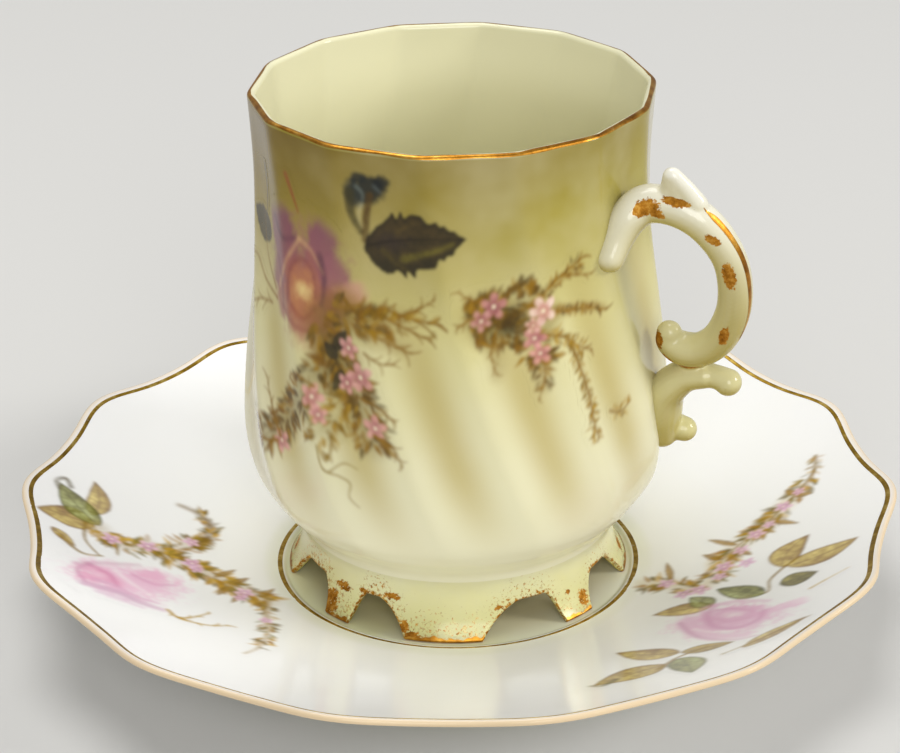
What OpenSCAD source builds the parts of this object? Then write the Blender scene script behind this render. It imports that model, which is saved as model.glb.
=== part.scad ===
// Footed porcelain cup with swirled flutes, standing on its scalloped saucer.
// Millimetres, +Z up. The origin is on the table under the middle of the saucer,
// and the cup's handle points along +X.

/* [Saucer] */
// Mean diameter across the scalloped edge
saucer_d = 152; // [144:1:160]
// Height of the edge above the table
saucer_h = 19.8; // [17:0.2:21]
// Number of scallops round the edge
scallops = 14; // [10:1:18]
// How far a scallop stands out from the mean circle
scallop_swing = 1.1; // [0.5:0.1:1.6]
// Direction of one scallop's crest, from the handle
scallop_start = -6; // [-12:1:12]
// Diameter of the flat well under the cup
well_d = 62.4; // [62:0.2:66]
// Height of the well's shoulder above the table
shoulder_z = 5.9; // [5.4:0.1:6.6]
// How far the well lies below its shoulder
well_depth = 0.4; // [0.2:0.1:0.6]
// Thickness of the saucer under the well
saucer_t = 2.8; // [2.4:0.1:3.2]
// Thickness of the saucer at its edge
saucer_edge_t = 1.5; // [1.3:0.1:2.2]
// Mean diameter of the ring that the saucer stands on
ring_d = 76; // [72:1:82]
// Width of that ring where it meets the table
ring_w = 3; // [2.4:0.2:3.6]

/* [Cup] */
// Height of the cup from the soles of its feet
cup_h = 89; // [85:1:93]
// Mean diameter of the rim
rim_d = 66.8; // [64:0.2:68]
// Mean diameter of the belly
belly_d = 72.2; // [71:0.2:74]
// Thickness of the wall
wall_t = 2.3; // [2:0.1:2.6]
// Thickness of the lip
lip_t = 1.5; // [1.2:0.1:1.8]
// Height of the floor inside, above the soles
floor_z = 13.6; // [13.2:0.1:14.4]
// Number of flutes round the wall
flutes = 14; // [10:1:18]
// Depth of a flute at the rim
rim_flute = 0.95; // [0.4:0.05:1.2]
// Depth of a flute at the belly
belly_flute = 1.25; // [0.4:0.05:1.4]
// How far a flute swirls round between the rim and the foot, in degrees
swirl = 37; // [20:1:45]

/* [Cup foot] */
// Height of the foot
foot_h = 10.6; // [10.2:0.1:11]
// Diameter across the soles
sole_d = 60.6; // [59:0.2:61]
// Diameter of the waist
waist_d = 54.4; // [53:0.2:55]
// Thickness of the skirt
skirt_t = 2.6; // [2.2:0.1:3]
// Height of the arches between the feet
arch_h = 5.7; // [4.6:0.1:6]
// How far an arch draws in towards its top beside a narrow foot
arch_draw = 1.6; // [1:0.2:2.2]
// How far an arch draws in towards its top beside a broad foot
arch_sweep = 4.6; // [3.6:0.2:5]

/* [Handle] */
// Radius of the loop's stem
stem_r = 2.9; // [2.6:0.1:3.1]
// How far the handle leans sideways, along with the swirl, in degrees
handle_lean = 15; // [8:1:18]
// Height over the soles at which the leaning handle crosses the cup's XZ plane
handle_z = 50.4; // [48:0.2:53]

/* [Gilding] */
// Height of the gilt lip of the cup
lip_gilt_h = 0.7; // [0.5:0.1:1]
// Height of the gilt soles
sole_gilt_h = 0.8; // [0.5:0.1:1]
// Width of the line inside the saucer's edge
edge_gilt_w = 0.9; // [0.6:0.1:1.2]
// How far that line lies inside the edge
edge_gilt_inset = 1.6; // [1.3:0.1:2.4]
// Width of the line round the well
well_gilt_w = 0.8; // [0.6:0.1:1.2]
// How far a gilt line stands above the glaze, and sinks into it
gilt_t = 0.1; // [0.06:0.02:0.14]
// Radius of the gilt line along the handle
handle_gilt_r = 0.7; // [0.5:0.1:0.9]

/* [Hidden] */

ivory = "#EFEBD3";
white = "#F6F4EC";
gold = "#B07A28";

// Room left under the soles, so that the cup lifts off freely
sole_gap = 0.05;
well_z = shoulder_z - well_depth;
sole_z = well_z + sole_gap;

// The flat shoulder between the well and the rising flange
shoulder_w = 1.5;
shoulder_gap = 0.2;
saucer_r = saucer_d / 2;
well_r = well_d / 2;
flange_r = well_r + shoulder_w;
reach_r = saucer_r + 4;
edge_rise = saucer_h - shoulder_z;
flange_power = 1.4;
flange_steps = 18;
scallop_steps = 10;
// Share of a second wave that draws the scallops' crests out and flattens the hollows
crest_share = 1 / 9;
ring_flare = 0.6;

belly_r = belly_d / 2;
flute_steps = 6;
sides = flutes * flute_steps;
swirl_power = 1.4;
swirl_end_z = 12;
// Heights over the soles between which the flutes fade in, and above which they grow shallower
fade_low_z = 11;
fade_high_z = 26;
shallow_z = 45;
// Depth of a flute inside the cup, as a share of its depth outside
inside_flute = 0.8;
lip_z = cup_h - lip_gilt_h;
lip_round = 0.35;

stem_sides = 24;
gilt_sides = 16;

// Smooth curve through a list of points; u counts the points from 0
function curve(points, u) =
    let (last = len(points) - 1)
    let (i = min(floor(u), last - 1), t = u - i)
    let (a = points[max(i - 1, 0)], b = points[i])
    let (c = points[i + 1], d = points[min(i + 2, last)])
    (2 * b + (c - a) * t + (2 * a - 5 * b + 4 * c - d) * t ^ 2
        + (3 * b - a - 3 * c + d) * t ^ 3) / 2;

function curve_run(points, steps) =
    [for (i = [0 : steps * (len(points) - 1)]) curve(points, i / steps)];

function ramp(x, low, high) =
    let (t = min(max((x - low) / (high - low), 0), 1))
    t * t * (3 - 2 * t);

// Saucer

// Height of the upper face at radius r
function flange_z(r) =
    shoulder_z + edge_rise * (max(r - flange_r, 0) / (saucer_r - flange_r)) ^ flange_power;

function flange_t(r) =
    saucer_t + (saucer_edge_t - saucer_t) * ramp(r, flange_r, saucer_r);

function flange_run(inner_r, outer_r) =
    [for (i = [0 : flange_steps]) inner_r + (outer_r - inner_r) * i / flange_steps];

function scallop_r(angle) =
    let (phase = scallops * (angle - scallop_start))
    saucer_r + scallop_swing * (cos(phase) + crest_share * cos(2 * phase));

module scalloped(inset) {
    count = scallops * scallop_steps;
    polygon([
        for (i = [0 : count - 1])
            let (angle = 360 * i / count)
            (scallop_r(angle) - inset) * [cos(angle), sin(angle)]
    ]);
}

module saucer_profile() {
    run = flange_run(flange_r, reach_r);
    ring_in = (ring_d - ring_w) / 2;
    ring_out = (ring_d + ring_w) / 2;
    under_z = shoulder_z - saucer_t;
    well = [[0, well_z], [well_r - well_depth, well_z], [well_r, shoulder_z]];
    top = [for (r = run) [r, flange_z(r)]];
    underside = [
        for (i = [flange_steps : -1 : 0])
            if (run[i] > ring_out + shoulder_w)
                [run[i], flange_z(run[i]) - flange_t(run[i])]
    ];
    ring = [
        [ring_out + ring_flare, under_z],
        [ring_out, 0],
        [ring_in, 0],
        [ring_in - ring_flare, under_z],
        [0, under_z]
    ];
    polygon(concat(well, top, underside, ring));
}

module saucer() {
    color(white)
        intersection() {
            rotate_extrude($fn = 96) saucer_profile();
            linear_extrude(saucer_h + saucer_r) scalloped(0);
        }
}

module saucer_rim_gilding() {
    inner_r = saucer_r - 2 * scallop_swing - edge_gilt_inset - edge_gilt_w;
    run = flange_run(inner_r, reach_r);
    color(gold)
        intersection() {
            rotate_extrude($fn = 96)
                polygon(concat(
                    [for (r = run) [r, flange_z(r) + gilt_t]],
                    [for (i = [flange_steps : -1 : 0]) [run[i], flange_z(run[i]) - gilt_t]]
                ));
            linear_extrude(saucer_h + saucer_r)
                difference() {
                    scalloped(edge_gilt_inset);
                    scalloped(edge_gilt_inset + edge_gilt_w);
                }
        }
}

module saucer_well_gilding() {
    color(gold)
        rotate_extrude($fn = 96)
            translate([well_r + shoulder_gap, shoulder_z - gilt_t])
            square([well_gilt_w, 2 * gilt_t]);
}

// Cup

// Mean outline of the wall, from the waist to the rim, as radius and height over the soles
wall_points = [
    [waist_d / 2 + 0.5, foot_h],
    [0.79 * belly_r, 12.2],
    [0.84 * belly_r, 14.2],
    [0.905 * belly_r, 16.9],
    [0.968 * belly_r, 21.2],
    [belly_r, 29],
    [0.986 * belly_r, 40],
    [0.948 * belly_r, 54],
    [0.92 * belly_r, 66],
    [0.91 * belly_r, cup_h - 12],
    [rim_d / 2, lip_z]
];

// Mean outline of the inside, from the floor to the rim
inside_points = concat(
    [[0.55 * belly_r, floor_z], [0.7 * belly_r, floor_z + 0.7], [0.83 * belly_r, floor_z + 3.6]],
    [for (i = [4 : len(wall_points) - 2]) wall_points[i] - [wall_t, 0]],
    [[rim_d / 2 - lip_t, lip_z]]
);

function flute_depth(z) =
    let (depth = belly_flute + (rim_flute - belly_flute) * ramp(z, shallow_z, cup_h))
    depth * ramp(z, fade_low_z, fade_high_z);

function swirl_at(z) =
    swirl * (max(cup_h - z, 0) / (cup_h - swirl_end_z)) ^ swirl_power;

// A ring of the fluted wall: hollow panels that meet in ridges
function fluted_ring(r, z, depth) = [
    for (j = [0 : sides - 1])
        let (t = (j % flute_steps) / flute_steps - 0.5)
        let (angle = swirl_at(z) + 360 * j / sides)
        let (ridge = r + depth * (4 * t * t - 1 / 3))
        [ridge * cos(angle), ridge * sin(angle), z + sole_z]
];

// Bands of triangles between rings, in order
function bands(first, last) = [
    for (i = [first : last - 1], j = [0 : sides - 1])
        let (k = (j + 1) % sides, low = i * sides, high = low + sides)
        each [[low + j, high + j, high + k], [low + j, high + k, low + k]]
];

module cup_body() {
    outside = curve_run(wall_points, 3);
    inside = curve_run(inside_points, 2);
    rings = concat(
        [for (p = outside) fluted_ring(p[0], p[1], flute_depth(p[1]))],
        [for (i = [len(inside) - 1 : -1 : 0])
            fluted_ring(inside[i][0], inside[i][1], flute_depth(inside[i][1]) * inside_flute)]
    );
    count = len(rings);
    middles = [[0, 0, foot_h + sole_z], [0, 0, floor_z + sole_z]];
    points = concat([for (ring = rings) each ring], middles);
    base = count * sides;
    base_fan = [for (j = [0 : sides - 1]) [base, j, (j + 1) % sides]];
    top = (count - 1) * sides;
    floor_fan = [for (j = [0 : sides - 1]) [base + 1, top + (j + 1) % sides, top + j]];
    color(ivory)
        polyhedron(points, concat(bands(0, count - 1), base_fan, floor_fan), convexity = 6);
}

// The gilt lip follows the fluted wall and is rounded over the top. Its outline is the inset from
// the outside, and the height as a share of the lip's
module cup_rim_gilding() {
    outer = [[0, 0], [0.3 * lip_round, 0.55], [lip_round, 1]];
    lip = concat(outer, [for (i = [2 : -1 : 0]) [lip_t - outer[i][0], outer[i][1]]]);
    count = len(lip);
    points = [
        for (p = lip)
            let (depth = flute_depth(lip_z) * (1 + (inside_flute - 1) * p[0] / lip_t))
            each fluted_ring(rim_d / 2 - p[0], lip_z + p[1] * lip_gilt_h, depth)
    ];
    last = (count - 1) * sides;
    under = [
        for (j = [0 : sides - 1])
            let (k = (j + 1) % sides)
            each [[last + j, j, k], [last + j, k, last + k]]
    ];
    color(gold) polyhedron(points, concat(bands(0, count - 1), under), convexity = 4);
}

// The foot is a flared skirt, cut by hand into feet: each arch is a direction from the handle,
// a width at the soles, and the side on which its broad foot stands
arches = [
    [-133, 15.6, -1], [-97, 11.4, 1], [-45, 16, -1], [-4, 14.6, 1],
    [50, 13.8, -1], [87, 13.8, 1], [140, 13.8, -1], [176, 13.2, 1]
];
skirt_points = [
    [sole_d / 2, 0],
    [sole_d / 2 - 1.6, 2.8],
    [waist_d / 2 + 0.5, 5.8],
    [waist_d / 2, 8.4],
    [waist_d / 2 + 0.5, foot_h]
];

// Half of an arch's outline, with a round upper corner, carried on a little below the soles
function arch_half(width, draw) =
    let (corner = 1.8, below = 0.6, spread = 0.4)
    let (side_x = width / 2 - draw - corner)
    concat(
        [[width / 2 + spread, -below]],
        [for (a = [20 : 10 : 90]) [side_x, arch_h - corner] + corner * [cos(a), sin(a)]]
    );

module arch(width, broad_side) {
    gentle = arch_half(width, arch_sweep);
    steep = arch_half(width, arch_draw);
    polygon(concat(
        [for (p = gentle) [broad_side * p[0], p[1]]],
        [for (i = [len(steep) - 1 : -1 : 0]) [-broad_side * steep[i][0], steep[i][1]]]
    ));
}

module skirt() {
    run = curve_run(skirt_points, 4);
    difference() {
        translate([0, 0, sole_z])
            rotate_extrude($fn = 96)
            polygon(concat(run, [for (i = [len(run) - 1 : -1 : 0]) run[i] - [skirt_t, 0]]));
        for (a = arches)
            rotate([0, 0, a[0]])
                translate([0, 0, sole_z])
                rotate([90, 0, 90])
                linear_extrude(sole_d) arch(a[1], a[2]);
    }
}

module slab(low, high) {
    translate([0, 0, sole_z + low]) cylinder(h = high - low, r = sole_d);
}

module cup_foot() {
    color(ivory)
        intersection() {
            skirt();
            slab(sole_gilt_h, foot_h);
        }
}

module cup_foot_gilding() {
    color(gold)
        intersection() {
            skirt();
            slab(0, sole_gilt_h);
        }
}

// Handle

// Each point of a stem lies in the leaning plane: distance out from the axis, distance to the
// plane's side, distance up the plane, and the stem's radius there
loop_points = [
    [32, -7, 19.4, stem_r - 0.7],
    [32.6, -4.9, 21.9, stem_r - 0.3],
    [33.8, -2.6, 24.6, stem_r + 0.1],
    [35.7, -0.6, 26, stem_r + 0.3],
    [38.8, 0, 26.2, stem_r + 0.3],
    [42.9, 0, 25.2, stem_r + 0.3],
    [46.4, 0, 22.4, stem_r + 0.2],
    [49.2, 0, 17.6, stem_r],
    [50.1, 0, 12.1, stem_r],
    [49.5, 0, 6.2, stem_r],
    [47.1, 0, 0.5, stem_r],
    [43.8, 0, -2.7, stem_r + 0.1],
    [40.6, 0, -3.2, stem_r + 0.1],
    [38.6, 0, -1.9, stem_r - 0.2],
    [38.3, 0, -0.3, stem_r - 0.7]
];
// The thumb piece: its knob and the two ends of its root on the loop
thumb_points = [[40.7, 0, 31.9, 1.65], [44.2, 0, 26.9, 2.2], [40, 0, 27.4, 2.4]];
bracket_points = [
    [44, 0, -8.2, 2],
    [40.5, 0, -9.2, 2.5],
    [37.3, 0, -12.5, 2.6],
    [36.8, 0, -17, 2.5],
    [36.9, 0, -21.3, 2.3]
];
web_points = [[41.5, 0, -5, 2.2], [42.4, 0, -8, 2]];
outer_leaf_points = [[44, 0, -8.2, 2], [46.4, 0, -8.2, 1.75], [48.2, 0, -8.4, 1.95]];
lower_leaf_points = [[37.2, 0, -20.6, 2.3], [38.8, 0, -20.9, 1.9], [39.8, 0, -20.9, 1.7]];

function leaning(p) = [
    p[0],
    p[1] * cos(handle_lean) - p[2] * sin(handle_lean),
    p[1] * sin(handle_lean) + p[2] * cos(handle_lean) + handle_z + sole_z
];

module bead(p, bead_sides) {
    translate(leaning(p)) sphere(r = p[3], $fn = bead_sides);
}

module stem(run, bead_sides) {
    for (i = [0 : len(run) - 2])
        hull() {
            bead(run[i], bead_sides);
            bead(run[i + 1], bead_sides);
        }
}

module cup_handle() {
    color(ivory)
        union() {
            stem(curve_run(loop_points, 3), stem_sides);
            hull() {
                for (p = thumb_points)
                    bead(p, stem_sides);
            }
            stem(bracket_points, stem_sides);
            stem(web_points, stem_sides);
            stem(outer_leaf_points, stem_sides);
            stem(lower_leaf_points, stem_sides);
        }
}

// The gilt line runs along the outer ridge of the loop, from the thumb piece down
gilt_from = 5.2;
gilt_to = 9.6;
gilt_links = 16;
gilt_run = [for (i = [0 : gilt_links]) gilt_from + (gilt_to - gilt_from) * i / gilt_links];

// Middle of the gilt line, set into the outer ridge at u along the loop
function ridge_point(u) =
    let (step = 0.05, p = curve(loop_points, u), q = curve(loop_points, u + step))
    let (along = [q[0] - p[0], q[2] - p[2]])
    let (out = [-along[1], along[0]] / norm(along))
    let (reach = p[3] + gilt_t - handle_gilt_r)
    [p[0] + out[0] * reach, 0, p[2] + out[1] * reach, handle_gilt_r];

module cup_handle_gilding() {
    color(gold)
        stem([for (u = gilt_run) ridge_point(u)], gilt_sides);
}

saucer();
saucer_rim_gilding();
saucer_well_gilding();
cup_body();
cup_rim_gilding();
cup_foot();
cup_foot_gilding();
cup_handle();
cup_handle_gilding();
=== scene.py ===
"""A footed porcelain cup on its saucer: swirled flutes, painted flower sprays and worn gilding."""

import math

import bpy
import numpy as np
from mathutils import Matrix, Vector
from mathutils.bvhtree import BVHTree

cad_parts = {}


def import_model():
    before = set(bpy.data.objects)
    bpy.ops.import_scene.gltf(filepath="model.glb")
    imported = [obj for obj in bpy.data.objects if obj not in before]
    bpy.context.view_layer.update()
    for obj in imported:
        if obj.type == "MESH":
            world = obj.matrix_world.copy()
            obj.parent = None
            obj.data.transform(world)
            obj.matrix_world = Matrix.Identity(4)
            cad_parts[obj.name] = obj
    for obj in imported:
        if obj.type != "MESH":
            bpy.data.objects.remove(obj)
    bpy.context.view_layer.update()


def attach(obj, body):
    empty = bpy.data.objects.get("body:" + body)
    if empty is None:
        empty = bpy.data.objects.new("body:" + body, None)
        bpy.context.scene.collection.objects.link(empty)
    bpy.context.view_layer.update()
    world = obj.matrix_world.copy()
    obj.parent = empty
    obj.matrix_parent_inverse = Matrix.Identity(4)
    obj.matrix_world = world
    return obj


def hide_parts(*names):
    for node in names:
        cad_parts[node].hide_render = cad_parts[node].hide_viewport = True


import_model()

# Sizes of the object, in millimetres. SOLE_Z, HANDLE_Z and the saucer's heights are over the table, and the
# cup's other heights are over its soles.
MM = 0.001

SAUCER_R = 76.0
SAUCER_H = 19.8
SCALLOPS = 14
SCALLOP_SWING = 1.1
SCALLOP_START = math.radians(-6)
CREST_SHARE = 1 / 9
WELL_R = 31.2
SHOULDER_Z = 5.9
WELL_DEPTH = 0.4
FLANGE_R = WELL_R + 1.5
FLANGE_POWER = 1.4
SAUCER_T = 2.8
SAUCER_EDGE_T = 1.1
RING_R = 38.0
RING_W = 3.0
RING_FLARE = 0.6
# Width of the painted shade round the saucer's outer edge
EDGE_SHADE_W = 1.2
EDGE_LINE_INSET = 1.6
WELL_LINE_OUT = 0.6

CUP_H = 89.0
SOLE_GAP = 0.05
SOLE_Z = SHOULDER_Z - WELL_DEPTH + SOLE_GAP
RIM_R = 33.4
BELLY_R = 36.1
WALL_T = 2.3
LIP_T = 1.5
FLOOR_Z = 13.6
FLOOR_BEND_Z = FLOOR_Z + 4
FLUTES = 14
RIM_FLUTE = 0.95
BELLY_FLUTE = 1.5
INSIDE_FLUTE = 0.8
SWIRL = math.radians(37)
SWIRL_POWER = 1.4
SWIRL_END_Z = 12.0
FLUTE_START_Z = 11.0
FLUTE_FULL_Z = 30.0
FLUTE_EASE_Z = 45.0

FOOT_H = 10.6
SOLE_R = 30.3
WAIST_R = 27.2
SKIRT_T = 2.6
SKIRT_EDGE_T = 1.1
EDGE_ROUND = 0.5
ARCH_H = 5.7

HANDLE_LEAN = math.radians(15)
HANDLE_Z = 50.4 + SOLE_Z

GILT_LIFT = 0.04
PAINT_LIFT = 0.025

# Heights between which a darker tint comes in: in the hollows of the belly, pooled glaze and painted shade,
# and below the lip, painted shade
HOLLOW_TINT_Z = (16, 37)
SIDE_SHADE_Z = (50, 80)

# Directions round from the handle: the side darkened as painted shade, and where the painter varied the gold
SHADE_SIDE = math.radians(-165)
SPONGE_SIDE = math.radians(-105)
GILT_THIN_SIDE = math.radians(-68)


# Curves

def ramp(x, low, high):
    """Rises smoothly from 0 at low to 1 at high."""
    t = np.clip((np.asarray(x, float) - low) / (high - low), 0, 1)
    return t * t * (3 - 2 * t)


def curve(points, u):
    """Smooth curve through the points, at places u counted from the first point."""
    points = np.asarray(points, float)
    u = np.atleast_1d(np.asarray(u, float))
    last = len(points) - 1
    i = np.clip(np.floor(u).astype(int), 0, last - 1)
    t = (u - i)[:, None]
    a, b = points[np.maximum(i - 1, 0)], points[i]
    c, d = points[i + 1], points[np.minimum(i + 2, last)]
    return b + ((c - a) * t + (2 * a - 5 * b + 4 * c - d) * t**2 + (3 * b - a - 3 * c + d) * t**3) / 2


def curve_run(points, steps):
    return curve(points, np.linspace(0, len(points) - 1, steps))


def unit(v):
    return v / np.linalg.norm(v, axis=-1, keepdims=True)


def turned(radius, angle, z):
    """Points at a radius, an angle and a height."""
    radius, angle, z = np.broadcast_arrays(radius, angle, z)
    return np.stack([radius * np.cos(angle), radius * np.sin(angle), z], -1)


def full_turn(count):
    """Angles spread evenly round a circle."""
    return np.linspace(0, 2 * math.pi, count, endpoint=False)


def angle_from(angle, degrees):
    """Angle counted from a direction, between minus and plus half a turn."""
    return (angle - math.radians(degrees) + math.pi) % (2 * math.pi) - math.pi


def along_and_left(x, y, ahead):
    """Distances along and to the left of a direction."""
    return x * ahead[0] + y * ahead[1], y * ahead[0] - x * ahead[1]


# Meshes

def grid_faces(rows, cols, wrap_rows=False, wrap_cols=True):
    """Quads between the points of a grid; rows that rise and columns that go round face outwards."""
    i = np.arange(rows if wrap_rows else rows - 1)
    j = np.arange(cols if wrap_cols else cols - 1)
    i, j = np.meshgrid(i, j, indexing="ij")
    up, on = (i + 1) % rows, (j + 1) % cols
    quads = [i * cols + j, i * cols + on, up * cols + on, up * cols + j]
    return np.stack(quads, -1).reshape(-1, 4)


def disc_faces(first, cols, middle, facing_up):
    """A fan from a middle point to the ring of columns that starts at first."""
    j = np.arange(cols)
    on = (j + 1) % cols
    pair = [first + j, first + on] if facing_up else [first + on, first + j]
    return np.stack([*pair, np.full(cols, middle)], -1)


def add_object(name, data):
    item = bpy.data.objects.new(name, data)
    bpy.context.scene.collection.objects.link(item)
    return item


def make_mesh(name, points, *face_groups):
    """A smooth piece from points in millimetres and groups of faces."""
    mesh = bpy.data.meshes.new(name)
    faces = [face for group in face_groups for face in group.tolist()]
    mesh.from_pydata((np.reshape(points, (-1, 3)) * MM).tolist(), [], faces)
    mesh.shade_smooth()
    return add_object(name, mesh)


def give_share(piece, name, values):
    """Stores a share from 0 to 1 at each point of a piece, for its material."""
    layer = piece.data.attributes.new(name, "FLOAT", "POINT")
    layer.data.foreach_set("value", np.clip(values, 0, 1).ravel().astype(np.float32))


def point_values(piece, name):
    """Places or normals of a piece's points, as rows of three."""
    values = np.empty(3 * len(piece.data.vertices), np.float32)
    piece.data.vertices.foreach_get(name, values)
    return values.reshape(-1, 3)


def settle(piece, body, slot, materials, *nodes):
    """Gives a piece its materials, the body that it rides on and the nodes that it stands for."""
    for material in materials:
        piece.data.materials.append(material)
    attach(piece, body)
    if nodes:
        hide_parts(*nodes)
    return piece


def ribbon(line, across, normal, width):
    """A band of gold that lies on a surface along a line, with a rounded top."""
    section = np.array([[-0.5, -0.5], [-0.42, 0.5], [-0.18, 1], [0.18, 1], [0.42, 0.5], [0.5, -0.5]])
    reach = section[:, :1] * width
    rise = section[:, 1:] * GILT_LIFT
    return line[None] + reach[..., None] * across[None] + rise[..., None] * normal[None]


# Saucer

def scallop_r(angle):
    phase = SCALLOPS * (angle - SCALLOP_START)
    return SAUCER_R + SCALLOP_SWING * (np.cos(phase) + CREST_SHARE * np.cos(2 * phase))


def saucer_top(r):
    """Height of the saucer's upper face."""
    well = SHOULDER_Z - WELL_DEPTH * (1 - ramp(r, WELL_R - 0.7, WELL_R + 0.2))
    rise = np.maximum(r - FLANGE_R, 0) / (SAUCER_R - FLANGE_R)
    return well + (SAUCER_H - SHOULDER_Z) * rise**FLANGE_POWER


def saucer_thickness(r):
    return SAUCER_T + (SAUCER_EDGE_T - SAUCER_T) * ramp(r, FLANGE_R, SAUCER_R)


def saucer_radius(r, angle):
    """Draws a circle out into scallops as it comes near the edge."""
    return r + (scallop_r(angle) - SAUCER_R) * ramp(r, 0.62 * SAUCER_R, SAUCER_R)


def saucer_sections():
    """Rings of the saucer from the middle of the well, over the edge and back underneath."""
    lip = SAUCER_EDGE_T / 2
    shelf = SAUCER_R - lip
    top = np.concatenate([
        np.linspace(3, WELL_R - 1.2, 8),
        np.linspace(WELL_R - 0.8, FLANGE_R, 12),
        np.linspace(FLANGE_R + 1, shelf, 44),
    ])
    rows = [(r, saucer_top(r)) for r in top]
    middle = saucer_top(shelf) - lip
    rows += [(shelf + lip * math.sin(a), middle + lip * math.cos(a)) for a in np.linspace(0.2, 2.9, 9)]
    outer, inner = RING_R + RING_W / 2, RING_R - RING_W / 2
    under = SHOULDER_Z - SAUCER_T
    below = np.linspace(shelf, outer + 3, 28)
    rows += [(r, saucer_top(r) - saucer_thickness(r)) for r in below]
    ring = [
        (outer + 1.4 * RING_FLARE, under + 0.1), (outer + RING_FLARE, under - 0.5), (outer + 0.1, 0.5),
        (outer - 0.1, 0.12), (outer - 0.5, 0), (inner + 0.5, 0), (inner + 0.1, 0.12), (inner - 0.1, 0.5),
        (inner - RING_FLARE, under - 0.5), (inner - 1.4 * RING_FLARE, under), (inner - 3, under), (3, under),
    ]
    return np.array(rows + ring)


def saucer_mesh():
    cols = SCALLOPS * 32
    angle = full_turn(cols)
    rows = saucer_sections()
    r = saucer_radius(rows[:, :1], angle[None])
    lift = saucer_top(r) - saucer_top(rows[:, :1])
    points = turned(r, angle[None], rows[:, 1:] + lift * (rows[:, :1] > FLANGE_R + 8))
    count = len(rows) * cols
    middles = [[0, 0, SHOULDER_Z - WELL_DEPTH], [0, 0, SHOULDER_Z - SAUCER_T]]
    points = np.concatenate([points.reshape(-1, 3), middles])
    sides = grid_faces(len(rows), cols)[:, ::-1]
    top = disc_faces(0, cols, count, True)
    bottom = disc_faces(count - cols, cols, count + 1, False)
    piece = make_mesh("saucer_dish", points, sides, top, bottom)
    r = np.hypot(points[:, 0], points[:, 1])
    # Painted shade round the outermost edge of the lip
    edge_shade = np.repeat(ramp(rows[:, 0], SAUCER_R - EDGE_SHADE_W, SAUCER_R - 0.1), cols)
    # Painted shade on the well under the cup
    share = 0.5 - 0.5 * ramp(r, WAIST_R - 3, WAIST_R + 2)
    share[:count] += edge_shade
    give_share(piece, "pool_and_shade", share)
    return piece


def saucer_line(name, radius, width):
    """A gilt line round the saucer, at a radius and with a width that both follow the angle."""
    cols = radius.shape[0]
    angle = full_turn(cols)
    line = turned(radius, angle, saucer_top(radius))
    ahead = np.roll(line, -1, 0) - np.roll(line, 1, 0)
    out = turned(np.ones(cols), angle, 0)
    step = 0.05
    out[:, 2] = (saucer_top(radius + step) - saucer_top(radius - step)) / (2 * step)
    normal = unit(np.cross(unit(out), unit(ahead)))
    across = unit(np.cross(unit(ahead), normal))
    rings = ribbon(line, across, normal, width)
    return make_mesh(name, rings, grid_faces(len(rings), cols, wrap_rows=True)[:, ::-1])


# Cup

# Outline of the foot and wall, from the soles to the lip, as radius and height over the soles
FOOT_POINTS = [(SOLE_R, 0), (SOLE_R - 1.6, 2.8), (WAIST_R + 0.5, 5.8), (WAIST_R, 8.4)]
WALL_POINTS = [
    (WAIST_R + 0.5, FOOT_H), (0.79 * BELLY_R, 12.2), (0.84 * BELLY_R, 14.2), (0.905 * BELLY_R, 16.9),
    (0.968 * BELLY_R, 21.2), (BELLY_R, 29), (0.986 * BELLY_R, 40), (0.948 * BELLY_R, 54),
    (0.92 * BELLY_R, 66), (0.91 * BELLY_R, CUP_H - 12), (RIM_R, CUP_H - 0.7),
]
OUTLINE = curve_run(FOOT_POINTS + WALL_POINTS, 900)


def wall_r(z):
    return np.interp(z, OUTLINE[:, 1], OUTLINE[:, 0])


def swirl_at(z):
    return SWIRL * (np.maximum(CUP_H - z, 0) / (CUP_H - SWIRL_END_Z)) ** SWIRL_POWER


def ridge_gap(z, angle):
    """Distance from the nearest ridge, as a share of a flute: 0 on a ridge and 0.5 in a hollow."""
    place = (angle - swirl_at(z)) * FLUTES / (2 * math.pi)
    return np.abs(place - np.round(place))


def flute(z, angle):
    """How far the fluted wall stands out from its mean circle."""
    depth = BELLY_FLUTE + (RIM_FLUTE - BELLY_FLUTE) * ramp(z, FLUTE_EASE_Z, CUP_H)
    depth = depth * ramp(z, FLUTE_START_Z, FLUTE_FULL_Z)
    soft = 0.1
    near = np.sqrt(ridge_gap(z, angle) ** 2 + soft**2)
    return depth * (4 * (0.5 - near) ** 2 - 1 / 3 + soft)


def hollow_tint_and_shade(z, angle):
    """Share of a darker tint: in the hollows of the belly, partly pooled glaze and partly painted shade, and
    below the lip on one side, painted shade.
    """
    # Darker hollows: partly pooled glaze, partly painted shade of the flutes
    hollow = 0.58 * ramp(ridge_gap(z, angle), 0.1, 0.5) * ramp(z, *HOLLOW_TINT_Z)
    hollow = hollow * (1 - 0.7 * ramp(z, FLUTE_EASE_Z, 75))
    # Painted shade: the upper wall is made darker on one side, as if turned from the light
    side_shade = (0.5 + 0.5 * np.cos(angle - SHADE_SIDE)) * ramp(z, *SIDE_SHADE_Z)
    return np.maximum(hollow, side_shade)


def cup_columns():
    """Angles round the cup, closer together near the ridges at the rim."""
    steps = 26
    t = np.linspace(-0.5, 0.5, steps, endpoint=False)
    t = t + 0.09 * np.sin(2 * math.pi * t)
    panels = np.arange(FLUTES)
    return ((panels[:, None] + 0.5 + t[None]) * 2 * math.pi / FLUTES).ravel()


def cup_wall(z, angle, share=1.0, inset=0.0):
    """Points of the wall; columns follow the swirl, so that ridges lie along them."""
    z = np.asarray(z, float)[:, None]
    turn = angle[None] + swirl_at(z)
    return turned(wall_r(z) - inset + share * flute(z, turn), turn, z + SOLE_Z)


RIM_Z = CUP_H - LIP_T / 2


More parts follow.
